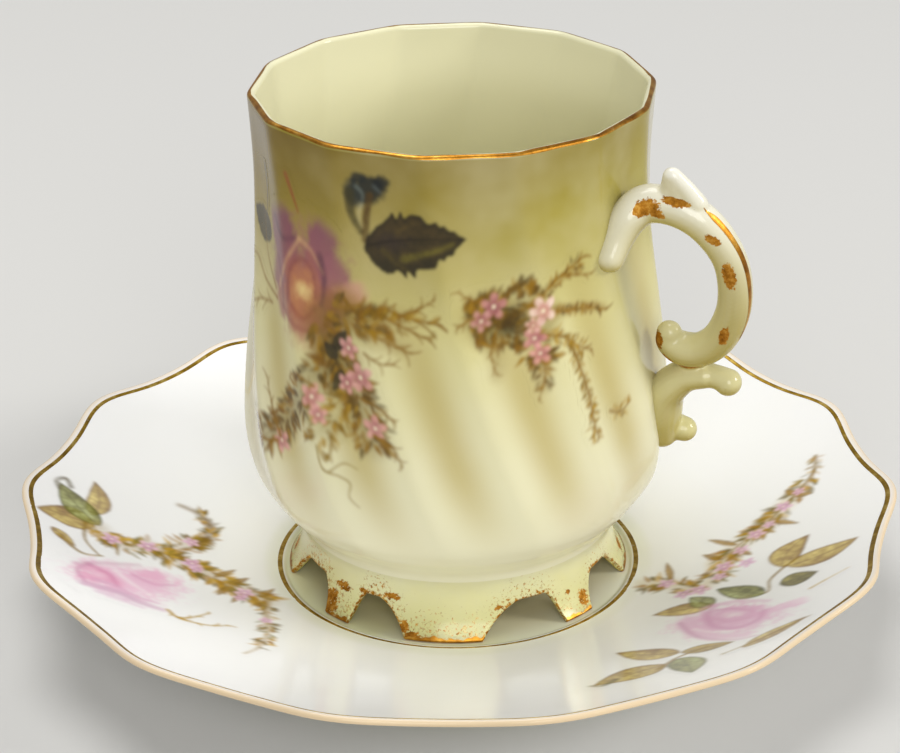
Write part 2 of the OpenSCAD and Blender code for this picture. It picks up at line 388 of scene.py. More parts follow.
def cup_mesh():
    """The bowl, and for each of its faces whether it has the inner glaze, which starts on the lip."""
    angle = cup_columns()
    cols = len(angle)
    lower = np.linspace(FOOT_H, FLUTE_FULL_Z, 44)
    upper = np.linspace(FLUTE_FULL_Z + 0.8, RIM_Z, 60)
    outside = cup_wall(np.concatenate([lower, upper]), angle)
    top = cup_wall([RIM_Z], angle)[0]
    out = turned(np.ones(cols), angle + swirl_at(RIM_Z), 0)
    half = LIP_T / 2
    over = [
        top - (half - half * math.cos(a)) * out + [0, 0, half * math.sin(a)]
        for a in np.linspace(0.25, math.pi - 0.25, 9)
    ]
    z = np.concatenate([np.linspace(RIM_Z, 24, 44), np.linspace(23, FLOOR_BEND_Z, 10)])
    inset = LIP_T + (WALL_T - LIP_T) * ramp(CUP_H - z, 0, 12)
    inside = np.stack([
        cup_wall([h], angle, 1 + (INSIDE_FLUTE - 1) * float(ramp(h, CUP_H - 6, CUP_H - 14)), t)[0]
        for h, t in zip(z, inset)
    ])
    bend = [(1, FLOOR_BEND_Z), (0.93, FLOOR_Z + 1.9), (0.8, FLOOR_Z + 0.6), (0.62, FLOOR_Z)]
    below = []
    for share, height in curve_run(bend, 14)[1:]:
        ring = inside[-1] * [share, share, 1]
        ring[:, 2] = height + SOLE_Z
        below.append(ring)
    rings = np.concatenate([outside, over, inside, below])
    count = len(rings) * cols
    middles = [[0, 0, FLOOR_Z + SOLE_Z], [0, 0, FOOT_H + SOLE_Z]]
    points = np.concatenate([rings.reshape(-1, 3), middles, outside[0]])
    sides = grid_faces(len(rings), cols)
    bottom = disc_faces(count - cols, cols, count, True)
    base = disc_faces(count + 2, cols, count + 1, False)
    piece = make_mesh("cup_bowl", points, sides, bottom, base)
    # Share of the darker tint on the outer wall: pooled glaze and painted shade
    pool_and_shade = np.zeros(len(points))
    outer = points[:len(outside) * cols]
    pool_and_shade[:len(outer)] = hollow_tint_and_shade(outer[:, 2] - SOLE_Z, np.arctan2(outer[:, 1], outer[:, 0]))
    give_share(piece, "pool_and_shade", pool_and_shade)
    outer_rows = len(outside) + 2
    inner = np.zeros(len(piece.data.polygons), np.int32)
    inner[outer_rows * cols:-cols] = 1
    return piece, inner


def cup_lip_mesh():
    """The gilt lip: a film over the outer half of the edge, with a wandering border."""
    angle = cup_columns()
    cols = len(angle)
    half = LIP_T / 2
    turn = angle + swirl_at(RIM_Z)
    out = turned(np.ones(cols), turn, 0)
    up = np.array([0, 0, 1.0])
    wander = np.sin(3 * turn + 1) + 0.7 * np.sin(11 * turn) + 0.5 * np.sin(29 * turn + 2)
    middle = cup_wall([RIM_Z], angle)[0] - half * out
    low = 0.42 + 0.1 * wander
    high = 1.6 + 0.14 * np.roll(wander, cols // 3)
    rings = []
    for share in np.linspace(0, 1, 12):
        a = low + share * (high - low)
        grow = half + GILT_LIFT * np.sin(math.pi * np.clip(share, 0.08, 0.92)) ** 0.5
        rings.append(middle + grow * (np.cos(a)[:, None] * out + np.sin(a)[:, None] * up))
    rings = np.array(rings)
    return make_mesh("cup_lip_gilding", rings, grid_faces(len(rings), cols))


# Arches of the foot: direction from the handle, width at the soles, and how far the arch draws in on
# its two sides
ARCHES = [
    (-133, 15.6, 7.0, 3.6), (-97, 11.4, 3.0, 6.4), (-45, 16.0, 8.4, 3.4), (-4, 14.6, 3.6, 7.0),
    (50, 13.8, 6.4, 3.4), (87, 13.8, 3.4, 6.4), (140, 13.8, 6.4, 3.4), (176, 13.2, 3.4, 6.6),
]


def sole_z(angle):
    """Height of the foot's lower edge, which is 0 on a foot and rises in an arch."""
    low = np.zeros_like(angle)
    for direction, width, left, right in ARCHES:
        off = angle_from(angle, direction)
        x = SOLE_R * np.sin(off)
        inside = np.where(x < 0, (x + width / 2) / left, (width / 2 - x) / right)
        t = np.clip(inside, 0, 1) * (np.abs(off) < math.pi / 2)
        low = np.maximum(low, ARCH_H * (1 - (1 - t) ** 1.9))
    return low


def skirt_t(z):
    """Thickness of the skirt, which thins towards its lower edge."""
    return SKIRT_EDGE_T + (SKIRT_T - SKIRT_EDGE_T) * ramp(z, 0, FOOT_H - 1)


# Rings of the skirt's outer face, and of each half of its rounded edge
SKIRT_RINGS = 40
EDGE_RINGS = 5


def foot_section(low):
    """Radius and height round the skirt's wall at one direction, from the waist out and back inside."""
    corner = low + EDGE_ROUND
    z = corner + (FOOT_H - corner) * np.linspace(1, 0, SKIRT_RINGS)
    outer = np.stack([wall_r(z), z], -1)
    back = corner + (FOOT_H - corner) * np.linspace(0, 1, 12)
    inner = np.stack([wall_r(back) - skirt_t(back - low), back], -1)
    return np.concatenate([outer, foot_edge(low), inner])


def foot_edge(low):
    """The rounded lower edge of the skirt, from outside to inside."""
    corner = low + EDGE_ROUND
    a = np.linspace(0, math.pi / 2, EDGE_RINGS + 1)[1:]
    out_r = wall_r(corner)
    in_r = out_r - SKIRT_EDGE_T
    drop = EDGE_ROUND * np.sin(a)
    outside = np.stack([out_r - EDGE_ROUND * (1 - np.cos(a)), corner - drop], -1)
    inside = np.stack([in_r + EDGE_ROUND * (1 - np.cos(a)), corner - drop], -1)
    return np.concatenate([outside, inside[::-1]])


# Gold sponged on the skirt: direction from the handle, height, reach round and reach up in millimetres
SPONGED = [
    (-118, 2.2, 3.4, 3.0), (-113, 5.6, 2.6, 1.0), (-92, 6.6, 2.6, 0.8), (-87, 2.0, 1.5, 1.5),
    (-84, 0.9, 2.2, 0.8), (-20, 2.6, 1.5, 1.8), (-26, 4.6, 0.9, 0.6), (-10, 6.0, 2.6, 0.7),
    (-54, 5.2, 1.2, 0.5), (-104, 6.2, 1.4, 0.6), (20, 3.0, 2.0, 1.6), (68, 2.4, 2.4, 1.6),
    (112, 3.2, 2.0, 1.4), (158, 2.8, 2.4, 1.6), (-160, 3.0, 2.2, 1.8),
]


def foot_gold(angle, z, low):
    """How densely the gold is stippled on the skirt, most of all along its lower edge."""
    over = z - low
    left = 0.5 + 0.5 * np.cos(angle - SPONGE_SIDE)
    share = (0.2 + 0.16 * left) * (1 - ramp(over, 1, 9.5)) + 0.26 * (1 - ramp(over, 0.3, 1.1))
    for direction, height, wide, tall in SPONGED:
        off = angle_from(angle, direction)
        d = np.hypot(off * SOLE_R / wide, (z - height) / tall)
        share = np.maximum(share, 0.8 * (1 - ramp(d, 0.3, 1.35)))
    return share


FOOT_COLS = 960


def foot_grid(sections, angle):
    """Points and faces of rings round the foot, from a section at each angle."""
    points = turned(sections[..., 0], angle[None], sections[..., 1] + SOLE_Z)
    return points, grid_faces(len(points), FOOT_COLS)[:, ::-1]


def foot_mesh():
    """The skirt on its soles, with the share of gold on its outer face."""
    angle = full_turn(FOOT_COLS)
    low = sole_z(angle)
    sections = np.stack([foot_section(edge) for edge in low], 1)
    piece = make_mesh("cup_foot_ring", *foot_grid(sections, angle))
    z = sections[..., 1]
    outside = np.arange(len(z))[:, None] < SKIRT_RINGS + EDGE_RINGS
    give_share(piece, "gilt", foot_gold(angle[None], z, low[None]) * outside)
    # Painted shade on the skirt's inside, tinted yellow like light bounced inside the foot
    give_share(piece, "pool_and_shade", np.broadcast_to(~outside, z.shape))
    return piece


def foot_gilding_mesh():
    """A film of gold round the soles, worn to an uneven upper border."""
    angle = full_turn(FOOT_COLS)
    wear = np.sin(23 * angle + 1) + 0.8 * np.sin(57 * angle + 2) + 0.6 * np.sin(131 * angle)
    border = 0.35 + 0.16 * wear
    low = sole_z(angle)
    sections = []
    for h, tall in zip(low, border):
        z = h + EDGE_ROUND + max(tall, 0.05) * np.linspace(1, 0, 5)
        wall = np.stack([wall_r(z), z], -1)
        film = np.concatenate([wall, foot_edge(h)])
        sections.append(film + GILT_LIFT * unit(film - film.mean(0)))
    points, faces = foot_grid(np.stack(sections, 1), angle)
    soles = low < 0.35 + 0.2 * np.sin(41 * angle)
    return make_mesh("cup_sole_gilding", points, faces[soles[faces % FOOT_COLS].all(1)])


# Handle, in its leaning plane: distance out from the axis, distance to the plane's side, distance up the
# plane, and radius
LOOP = [
    (31.7, -7.0, 19.4, 2.4), (32.5, -4.9, 21.9, 2.6), (33.7, -2.6, 24.6, 3.1), (35.7, -0.6, 26, 3.3),
    (38.8, 0, 26.2, 3.2), (42.9, 0, 25.2, 3.2), (46.4, 0, 22.4, 3.1), (49.2, 0, 17.6, 2.9),
    (50.1, 0, 12.1, 2.9), (49.5, 0, 6.2, 2.9), (47.1, 0, 0.5, 2.95), (43.8, 0, -2.7, 3.0),
    (40.6, 0, -3.2, 3.0), (38.6, 0, -1.9, 2.7), (38.3, 0, -0.3, 2.2),
]
KNOB = (40.7, 0, 31.9, 1.65)
THUMB = [
    [KNOB, (42.5, 0, 29.6, 1.9), (44.2, 0, 26.9, 2.2)], [KNOB, (41.3, 0, 29.6, 2.0), (42, 0, 27.2, 2.4)],
    [KNOB, (40.4, 0, 29.6, 1.9), (40, 0, 27.4, 2.4)],
]
BRACKET = [
    (44, 0, -8.2, 2.3), (40.5, 0, -9.2, 2.8), (37.3, -0.6, -12.5, 3.3), (36.4, -1.0, -17, 3.4),
    (36.2, -0.8, -21.3, 2.9),
]
OUTER_LEAF = [(44, 0, -8.2, 2.2), (46.4, 0, -8.4, 2.1), (48, 0, -9.1, 2.4)]
LOWER_LEAF = [(37.2, 0, -20.4, 2.6), (38.8, 0, -20.9, 2.3), (39.8, 0, -21.1, 2.2)]
WEB = [(41.5, 0, -5, 2.2), (42.4, 0, -8, 2.0)]
MELT_CELL = 0.24

# The gilt band: its first and last place counted along the loop's points, and its turn to the near side
BAND_START = 5.3
BAND_END = 9.6
BAND_TURN = 0.3


def leaning(p):
    """From the handle's plane to the frame."""
    p = np.asarray(p, float)
    c, s = math.cos(HANDLE_LEAN), math.sin(HANDLE_LEAN)
    return np.stack([p[..., 0], p[..., 1] * c - p[..., 2] * s, p[..., 1] * s + p[..., 2] * c + HANDLE_Z], -1)


def tube(points, steps, sides=20, flat=1.0):
    """A round-ended tube; flat narrows it across the handle's plane."""
    run = curve_run(points, steps)
    place, radius = run[:, :3], run[:, 3]
    ahead = unit(np.gradient(place, axis=0))
    side = np.tile([0.0, 1.0, 0.0], (len(run), 1))
    side = unit(side - (side * ahead).sum(1, keepdims=True) * ahead)
    across = np.cross(side, ahead)
    cap = np.linspace(0, math.pi / 2, 6)[:-1]
    rows = [(0, -math.cos(a), math.sin(a)) for a in cap]
    rows += [(i, 0, 1) for i in range(len(run))]
    rows += [(len(run) - 1, math.cos(a), math.sin(a)) for a in cap[::-1]]
    turn = full_turn(sides)
    rings = []
    for i, push, share in rows:
        wide = np.cos(turn)[:, None] * across[i] + flat * np.sin(turn)[:, None] * side[i]
        rings.append(place[i] + push * radius[i] * ahead[i] + max(share, 0.02) * radius[i] * wide)
    return leaning(np.array(rings))


def handle_mesh():
    """The handle's stems, run together and smoothed where they meet."""
    stems = [
        tube(LOOP, 90, flat=0.96), tube(BRACKET, 30, flat=1.15), tube(OUTER_LEAF, 14), tube(LOWER_LEAF, 14),
        tube(WEB, 8, flat=0.8), *(tube(leaf, 14, flat=0.85) for leaf in THUMB),
    ]
    points, faces, start = [], [], 0
    for rings in stems:
        count, cols = rings.shape[:2]
        points.append(rings.reshape(-1, 3))
        ends = np.stack([np.arange(cols)[::-1], np.arange(cols) + (count - 1) * cols])
        faces += [grid_faces(count, cols) + start, ends + start]
        start += count * cols
    piece = make_mesh("cup_scroll_handle", np.concatenate(points), *faces)
    melt = piece.modifiers.new("melt", "REMESH")
    melt.mode = "VOXEL"
    melt.voxel_size = MELT_CELL * MM
    smooth = piece.modifiers.new("smooth", "SMOOTH")
    smooth.factor = 0.5
    smooth.iterations = 10
    graph = bpy.context.evaluated_depsgraph_get()
    melted = bpy.data.meshes.new_from_object(piece.evaluated_get(graph))
    piece.modifiers.clear()
    piece.data = melted
    melted.name = "cup_scroll_handle"
    melted.shade_smooth()
    give_handle_gold_and_shade(piece)
    return piece


# Gold dabbed on the handle's near face, in its plane: place out and up, reach out and up, and turn
DABS = [
    (37.0, 27.4, 2.1, 1.25, 5), (38.6, 26.5, 1.2, 0.8, -30), (41.6, 28.4, 2.4, 0.7, -8),
    (39.6, 25.9, 0.5, 0.4, 0), (47.6, 22.4, 1.5, 0.7, -35), (50.0, 15.6, 1.1, 2.6, 10),
    (48.6, 3.0, 0.8, 2.0, -15), (36.9, -0.8, 0.9, 1.5, 0), (38.4, -4.0, 1.3, 0.5, -40),
    (40.6, -5.5, 1.7, 0.45, -12), (43, -5.4, 1.2, 0.35, 14),
]


def give_handle_gold_and_shade(handle):
    """Marks the dabs of gold on the handle's points, and its undersides, which are darkened as painted shade.
    """
    x, y, z = point_values(handle, "co").T / MM
    c, s = math.cos(HANDLE_LEAN), math.sin(HANDLE_LEAN)
    side = y * c + (z - HANDLE_Z) * s
    up = (z - HANDLE_Z) * c - y * s
    gold_share = np.zeros(len(x))
    for out, height, wide, tall, turn in DABS:
        a = math.radians(turn)
        along, across = along_and_left(x - out, up - height, (math.cos(a), math.sin(a)))
        d = np.hypot(along / wide, across / tall)
        gold_share = np.maximum(gold_share, 1 - ramp(d, 0.55, 1.45))
    give_share(handle, "gilt", gold_share * (side < -0.6))
    # Painted shade: faces turned downwards are darkened
    give_share(handle, "pool_and_shade", 1 - ramp(point_values(handle, "normal")[:, 2], -0.7, 0.4))


def handle_gilding_mesh(handle):
    """A gilt band on the outer ridge of the loop, laid where rays from outside meet the handle."""
    tree = BVHTree.FromObject(handle, bpy.context.evaluated_depsgraph_get())
    u = np.linspace(BAND_START, BAND_END, 120)
    place = curve(LOOP, u)[:, :3]
    ahead = unit(np.gradient(place, axis=0))
    side = np.array([0.0, 1.0, 0.0])
    out = unit(np.cross(side, ahead) * -1)
    width = 0.17 * ramp(u, 5.25, 5.8) * (1 - 0.7 * ramp(u, 7.6, BAND_END)) + 0.01
    clear = 6.0
    rings = []
    for share in np.linspace(-1, 1, 7):
        turn = BAND_TURN + share * width
        lean = np.cos(turn)[:, None] * out - np.sin(turn)[:, None] * side
        start = leaning(place + clear * lean)
        aim = leaning(place) - start
        ring = []
        for origin, direction in zip(start, unit(aim)):
            hit = tree.ray_cast(Vector(origin * MM), Vector(direction))[0]
            ring.append(np.array(hit) / MM - direction * GILT_LIFT)
        rings.append(ring)
    rings = np.array(rings)
    return make_mesh("cup_handle_ridge_gilding", rings, grid_faces(*rings.shape[:2], wrap_cols=False))


# Painting

OLIVE = ["7A540A", "8C660A", "644806", "9A7412", "56400A"]
OLIVE_PALE = ["A07A12", "8E6C08", "B08C26", "80620A"]
TWIG = "845E06"
TENDRIL = "8C6E14"
DARK_LEAFLET = ("241C0C", "40381C")
ROSE_EDGE = "C89E70"
EYE = "F6EBC6"
SAUCER_LEAF = ("7E5800", "E6D27A")
SAUCER_GREY = ("565204", "B8BE7E")
SAUCER_LEAFLET = ("86640A", "B48C1C")
SAUCER_STEM = "907010"
SAUCER_TWIG = "B8942A"
SAUCER_CURL = "5A4A08"
SAUCER_SHADE = "A8841C"
SAUCER_PALE = "C2A038"
GARLAND = ["A87A04", "92700A", "BE941C", "746010", "CCA63A", "867418"]
LILAC = ("EAC8DC", "CE98C0", "FBF4E0")
WHITE = "FDF8F7"


def hex_rgb(text):
    """A colour written as six hex digits, as display values."""
    return np.array([int(text[i:i + 2], 16) / 255 for i in (0, 2, 4)])


def blend(first, second, share):
    """Colours from one to another, both written as hex digits, by a field of shares."""
    share = share[..., None]
    return hex_rgb(first) * (1 - share) + hex_rgb(second) * share


def leaned(ahead, angle):
    """A direction turned to the left by an angle."""
    c, s = math.cos(angle), math.sin(angle)
    return np.array([c * ahead[0] - s * ahead[1], s * ahead[0] + c * ahead[1]])


def to_linear(value):
    return np.where(value <= 0.04045, value / 12.92, ((value + 0.055) / 1.055) ** 2.4)


def blurred(field, cells):
    """A field smoothed over some cells along both axes."""
    kernel = np.hanning(2 * cells + 3)[1:-1]
    kernel /= kernel.sum()
    for axis in (0, 1):
        field = np.apply_along_axis(np.convolve, axis, field, kernel, mode="same")
    return field


class Canvas:
    """Paint over a patch of glaze, laid out flat in millimetres."""

    STEP = 0.2

    def __init__(self, low, high, to_flat, seed):
        self.x = np.arange(low[0], high[0], self.STEP)
        self.y = np.arange(low[1], high[1], self.STEP)
        self.X, self.Y = np.meshgrid(self.x, self.y)
        self.rgb = np.zeros(self.X.shape + (3,))
        self.alpha = np.zeros(self.X.shape)
        self.to_flat = to_flat
        self.random = np.random.default_rng(seed)
        fine, broad = (blurred(self.random.normal(size=self.X.shape), n) for n in (2, 7))
        self.grain = 0.5 * fine / fine.std() + 0.5 * broad / broad.std()

    def at(self, *places):
        """Flat points for places on the glaze."""
        return np.array([self.to_flat(*place) for place in places])

    def window(self, points, margin):
        """The part of the canvas round some flat points."""
        low, high = np.min(points, 0) - margin, np.max(points, 0) + margin
        i = slice(*np.searchsorted(self.y, (low[1], high[1])))
        j = slice(*np.searchsorted(self.x, (low[0], high[0])))
        return i, j

    def local(self, place, origin, ahead):
        """Distances along and to the left of a direction, from an origin."""
        return along_and_left(self.X[place] - origin[0], self.Y[place] - origin[1], ahead)

    def path(self, points, steps):
        """Places along a line through the points, and the directions there."""
        run = curve_run(self.at(*points), steps)
        return run, unit(np.gradient(run, axis=0))

    def lay(self, place, cover, colour):
        """Lays colour over what is there, by a cover between 0 and 1."""
        cover = np.clip(cover, 0, 1)
        total = cover + self.alpha[place] * (1 - cover)
        share = (cover / np.maximum(total, 1e-6))[..., None]
        self.rgb[place] = self.rgb[place] * (1 - share) + colour * share
        self.alpha[place] = total

    def blot(self, centre, size, colour, strength, turn=0, soft=0.8, rough=0.15):
        """A soft oval of thin colour with an uneven border."""
        centre = self.at(centre)[0]
        place = self.window([centre], 1.7 * max(size))
        a = math.radians(turn)
        along, across = self.local(place, centre, (math.cos(a), math.sin(a)))
        d = np.hypot(along / size[0], across / size[1]) + rough * self.grain[place]
        self.lay(place, strength * (1 - ramp(d, 1 - soft, 1 + 0.4 * soft)), hex_rgb(colour))

    def stroke(self, points, width, colour, strength=0.85, thin=0.35, soft=0.16, flat=False):
        """A brush line through places, or through flat points, that thins towards its end."""
        run = curve_run(points if flat else self.at(*points), 8 * (len(points) - 1) + 1)
        place = self.window(run, width / 2 + soft + 0.2)
        X, Y = self.X[place], self.Y[place]
        gap = np.full(X.shape, 9.0)
        for k, (p, q) in enumerate(zip(run[:-1], run[1:])):
            step = q - p
            t = ((X - p[0]) * step[0] + (Y - p[1]) * step[1]) / max(step @ step, 1e-9)
            t = np.clip(t, 0, 1)
            half = width / 2 * (1 + (thin - 1) * k / len(run))
            gap = np.minimum(gap, np.hypot(X - p[0] - t * step[0], Y - p[1] - t * step[1]) - half)
        wash = strength * (0.9 + 0.12 * self.grain[place])
        self.lay(place, wash * (1 - ramp(gap, -soft, soft)), hex_rgb(colour))

    def petal(self, base, tip, width, inner, outer, strength, soft):
        """A broad petal whose colour runs from its base to its edge, with fine streaks."""
        base, tip = self.at(base, tip)
        length = math.dist(base, tip)
        ahead = (tip - base) / length
        place = self.window([base, tip], width / 2 + 0.5)
        along, across = self.local(place, base, ahead)
        t = np.clip(along / length, 0.001, 0.999)
        half = width / 2 * 1.3 * t**0.55 * (1 - t) ** 0.3
        ripple = 0.05 * self.grain[place]
        side = np.abs(across) / np.maximum(half, 0.05)
        cover = 1 - ramp(side + ripple, 1.06 - soft, 1.06)
        cover *= ramp(along, -0.1, 0.3) * (1 - ramp(along, length * (1 - 0.4 * soft), length + 0.15))
        edge = np.clip(np.maximum(t**2, side**3) + 0.25 * ripple, 0, 1)
        streak = 0.5 + 0.5 * np.sin(9 * across / np.maximum(along, 1.5) * length / width)
        share = np.clip(edge * 0.85 + 0.12 * streak, 0, 1)
        self.lay(place, strength * cover, blend(inner, outer, share))

    def leaf(self, base, tip, width, dark, light, strength=0.9, teeth=0.0, bend=0.0, rib=True,
             soft=0.14, flat=False):
        """A leaf between two places, or two flat points; it is darker on its right side, teeth notch its
        border and bend curves it to the left."""
        if not flat:
            base, tip = self.at(base, tip)
        length = math.dist(base, tip)
        ahead = (tip - base) / length
        place = self.window([base, tip], width / 2 + abs(bend) + 0.5)
        along, across = self.local(place, base, ahead)
        t = np.clip(along / length, 0, 1)
        across = across - 4 * bend * t * (1 - t)
        notch = along / 2.7 + 0.4 * (across > 0) + 0.35 * np.sin(0.9 * along) - 0.15 * np.abs(across)
        saw = 0.5 + 0.5 * np.cos(2 * math.pi * notch)
        half = width / 2 * np.sin(math.pi * t**0.75) ** 0.85 * (1 - teeth * saw)
        gap = np.abs(across) - half + (0.05 + 0.35 * teeth) * self.grain[place]
        ends = ramp(along, -0.2, 0.1) * (1 - ramp(along, length, length + 0.3))
        cover = (1 - ramp(gap, -soft, soft)) * ends
        tone = 0.55 + 0.3 * across / max(width / 2, 0.1) + 0.22 * self.grain[place]
        tone = np.clip(tone, 0, 1) * (1 - 0.85 * ramp(gap, -0.14 * width, -0.08))
        if rib:
            veins = np.abs(np.sin(2.1 * (along - 0.8 * np.abs(across))))
            tone = np.clip(tone - 0.12 * (1 - ramp(veins, 0.05, 0.35)), 0, 1)
            tone = np.where(np.abs(across) < 0.16, tone * 0.35, tone)
        self.lay(place, strength * cover, blend(dark, light, tone))

    def blossom(self, centre, radius, turn, edge, middle, eye, strength=0.9):
        """A small five-petalled flower seen from in front."""
        cleft = 0.68
        centre = self.at(centre)[0]
        place = self.window([centre], 1.4 * radius)
        along, across = self.local(place, centre, (1, 0))
        r = np.hypot(along, across)
        lobe = np.abs(np.cos(2.5 * (np.arctan2(across, along) - math.radians(turn))))
        d = r / (radius * (1 - cleft + cleft * lobe**0.7)) + 0.05 * self.grain[place]
        tone = np.clip(ramp(d, 0.15, 0.75) * (0.2 + 0.8 * lobe) + 0.12 * self.grain[place], 0, 1)
        self.lay(place, strength * (1 - ramp(d, 0.8, 1.12)), blend(middle, edge, tone))
        self.lay(place, 0.9 * (1 - ramp(r, 0.06 * radius, 0.22 * radius)), hex_rgb(eye))

    def foliage(self, points, spread, count, size, colours, strength=0.8, tufts=0):
        """Small narrow leaves scattered along a line, evenly or in tufts, and leaning forward from it."""
        run, ahead = self.path(points, 60)
        for _ in range(count):
            k = int(self.random.integers(0, len(run)))
            if tufts:
                middle = (k * tufts // len(run) + 0.5) * len(run) / tufts
                k = int(np.clip(middle + self.random.normal(0, 0.2 * len(run) / tufts), 0, len(run) - 1))
            lean = self.random.choice([-1, 1]) * self.random.uniform(0.2, 1.5)
            left = np.sign(lean) * np.array([-ahead[k][1], ahead[k][0]])
            base = run[k] + self.random.uniform(0, spread) * left
            tip = base + leaned(ahead[k], lean) * size * self.random.uniform(0.6, 1.25)
            tone = colours[int(self.random.integers(0, len(colours)))]
            width = size * self.random.uniform(0.26, 0.46)
            cover = strength * self.random.uniform(0.55, 1)
            self.leaf(base, tip, width, tone, tone, cover, rib=False, soft=0.26, flat=True)

    def twig(self, points, width, shoots, reach, strength=0.85, colour=TWIG):
        """A thin stem with short shoots to both sides."""
        self.stroke(points, width, colour, strength)
        run, ahead = self.path(points, 80)
        for n in range(shoots):
            k = int((len(run) - 1) * (n + 0.7) / shoots)
            lean = (1 if n % 2 else -1) * self.random.uniform(0.5, 1.0)
            end = run[k] + leaned(ahead[k], lean) * reach * self.random.uniform(0.6, 1.2)
            bow = (run[k] + end) / 2 + 0.12 * reach * ahead[k]
            self.stroke(np.array([run[k], bow, end]), 0.8 * width, colour, 0.85 * strength, flat=True)

    def clear(self, low, high):
        """Leaves a box of the canvas bare, for a neighbouring canvas."""
        self.alpha[self.window(self.at(low, high), 0)] = 0

    def sheet(self, name, surface):
        """The painted patch as a mesh that lies on the glaze."""
        drawn = blurred((self.alpha > 0.02).astype(float), 2) > 0
        cell = drawn[:-1, :-1] | drawn[1:, :-1] | drawn[:-1, 1:] | drawn[1:, 1:]
        rows, cols = self.X.shape
        faces = grid_faces(rows, cols, wrap_cols=False)[cell.ravel()]
        used, faces = np.unique(faces, return_inverse=True)
        faces = faces.reshape(-1, 4)
        points, pool_and_shade = surface(self.X.ravel()[used], self.Y.ravel()[used])
        piece = make_mesh(name, points, faces)
        # The cup's sprays carry the wall's tint share, pooled glaze and painted shade, so that they match it
        give_share(piece, "pool_and_shade", pool_and_shade)
        paint = np.concatenate([to_linear(self.rgb) * self.alpha[..., None], self.alpha[..., None]], -1)
        paint = np.stack([blurred(paint[..., k], 2) for k in range(4)], -1)
        layer = piece.data.color_attributes.new("paint", "FLOAT_COLOR", "POINT")
        layer.data.foreach_set("color", paint.reshape(-1, 4)[used].ravel().astype(np.float32))
        across = (self.X.ravel()[used] - self.x[0]) / (self.x[-1] - self.x[0])
        along = (self.Y.ravel()[used] - self.y[0]) / (self.y[-1] - self.y[0])
        corners = np.stack([across, along], -1)[faces.ravel()]
        piece.data.uv_layers.new(name="OFBake").data.foreach_set("uv", corners.ravel())
        return piece


# Millimetres round the wall for one degree, at a mean radius of the painted part
PAINTED_R = 35.0
DEGREE = PAINTED_R * math.radians(1)


def cup_canvas(left, right, low, high, seed):
    """Canvas on the wall, placed by degrees round from the handle and height over the soles."""
    def to_flat(angle, z):
        return angle * DEGREE, z
    return Canvas((left * DEGREE, low), (right * DEGREE, high), to_flat, seed)


def on_wall(x, y):
    angle = np.radians(x / DEGREE)
    return turned(wall_r(y) + flute(y, angle) + PAINT_LIFT, angle, y + SOLE_Z), hollow_tint_and_shade(y, angle)


def saucer_canvas(low, high, seed):
    """Canvas on the saucer, placed by degrees round from the handle and distance from the middle."""
    def to_flat(angle, r):
        a = math.radians(angle)
        return r * math.cos(a), r * math.sin(a)
    return Canvas(low, high, to_flat, seed)


def on_saucer(x, y):
    return np.stack([x, y, saucer_top(np.hypot(x, y)) + PAINT_LIFT], -1), np.zeros_like(x)


# Direction at which the two sprays on the cup meet
SPRAY_SEAM = -70


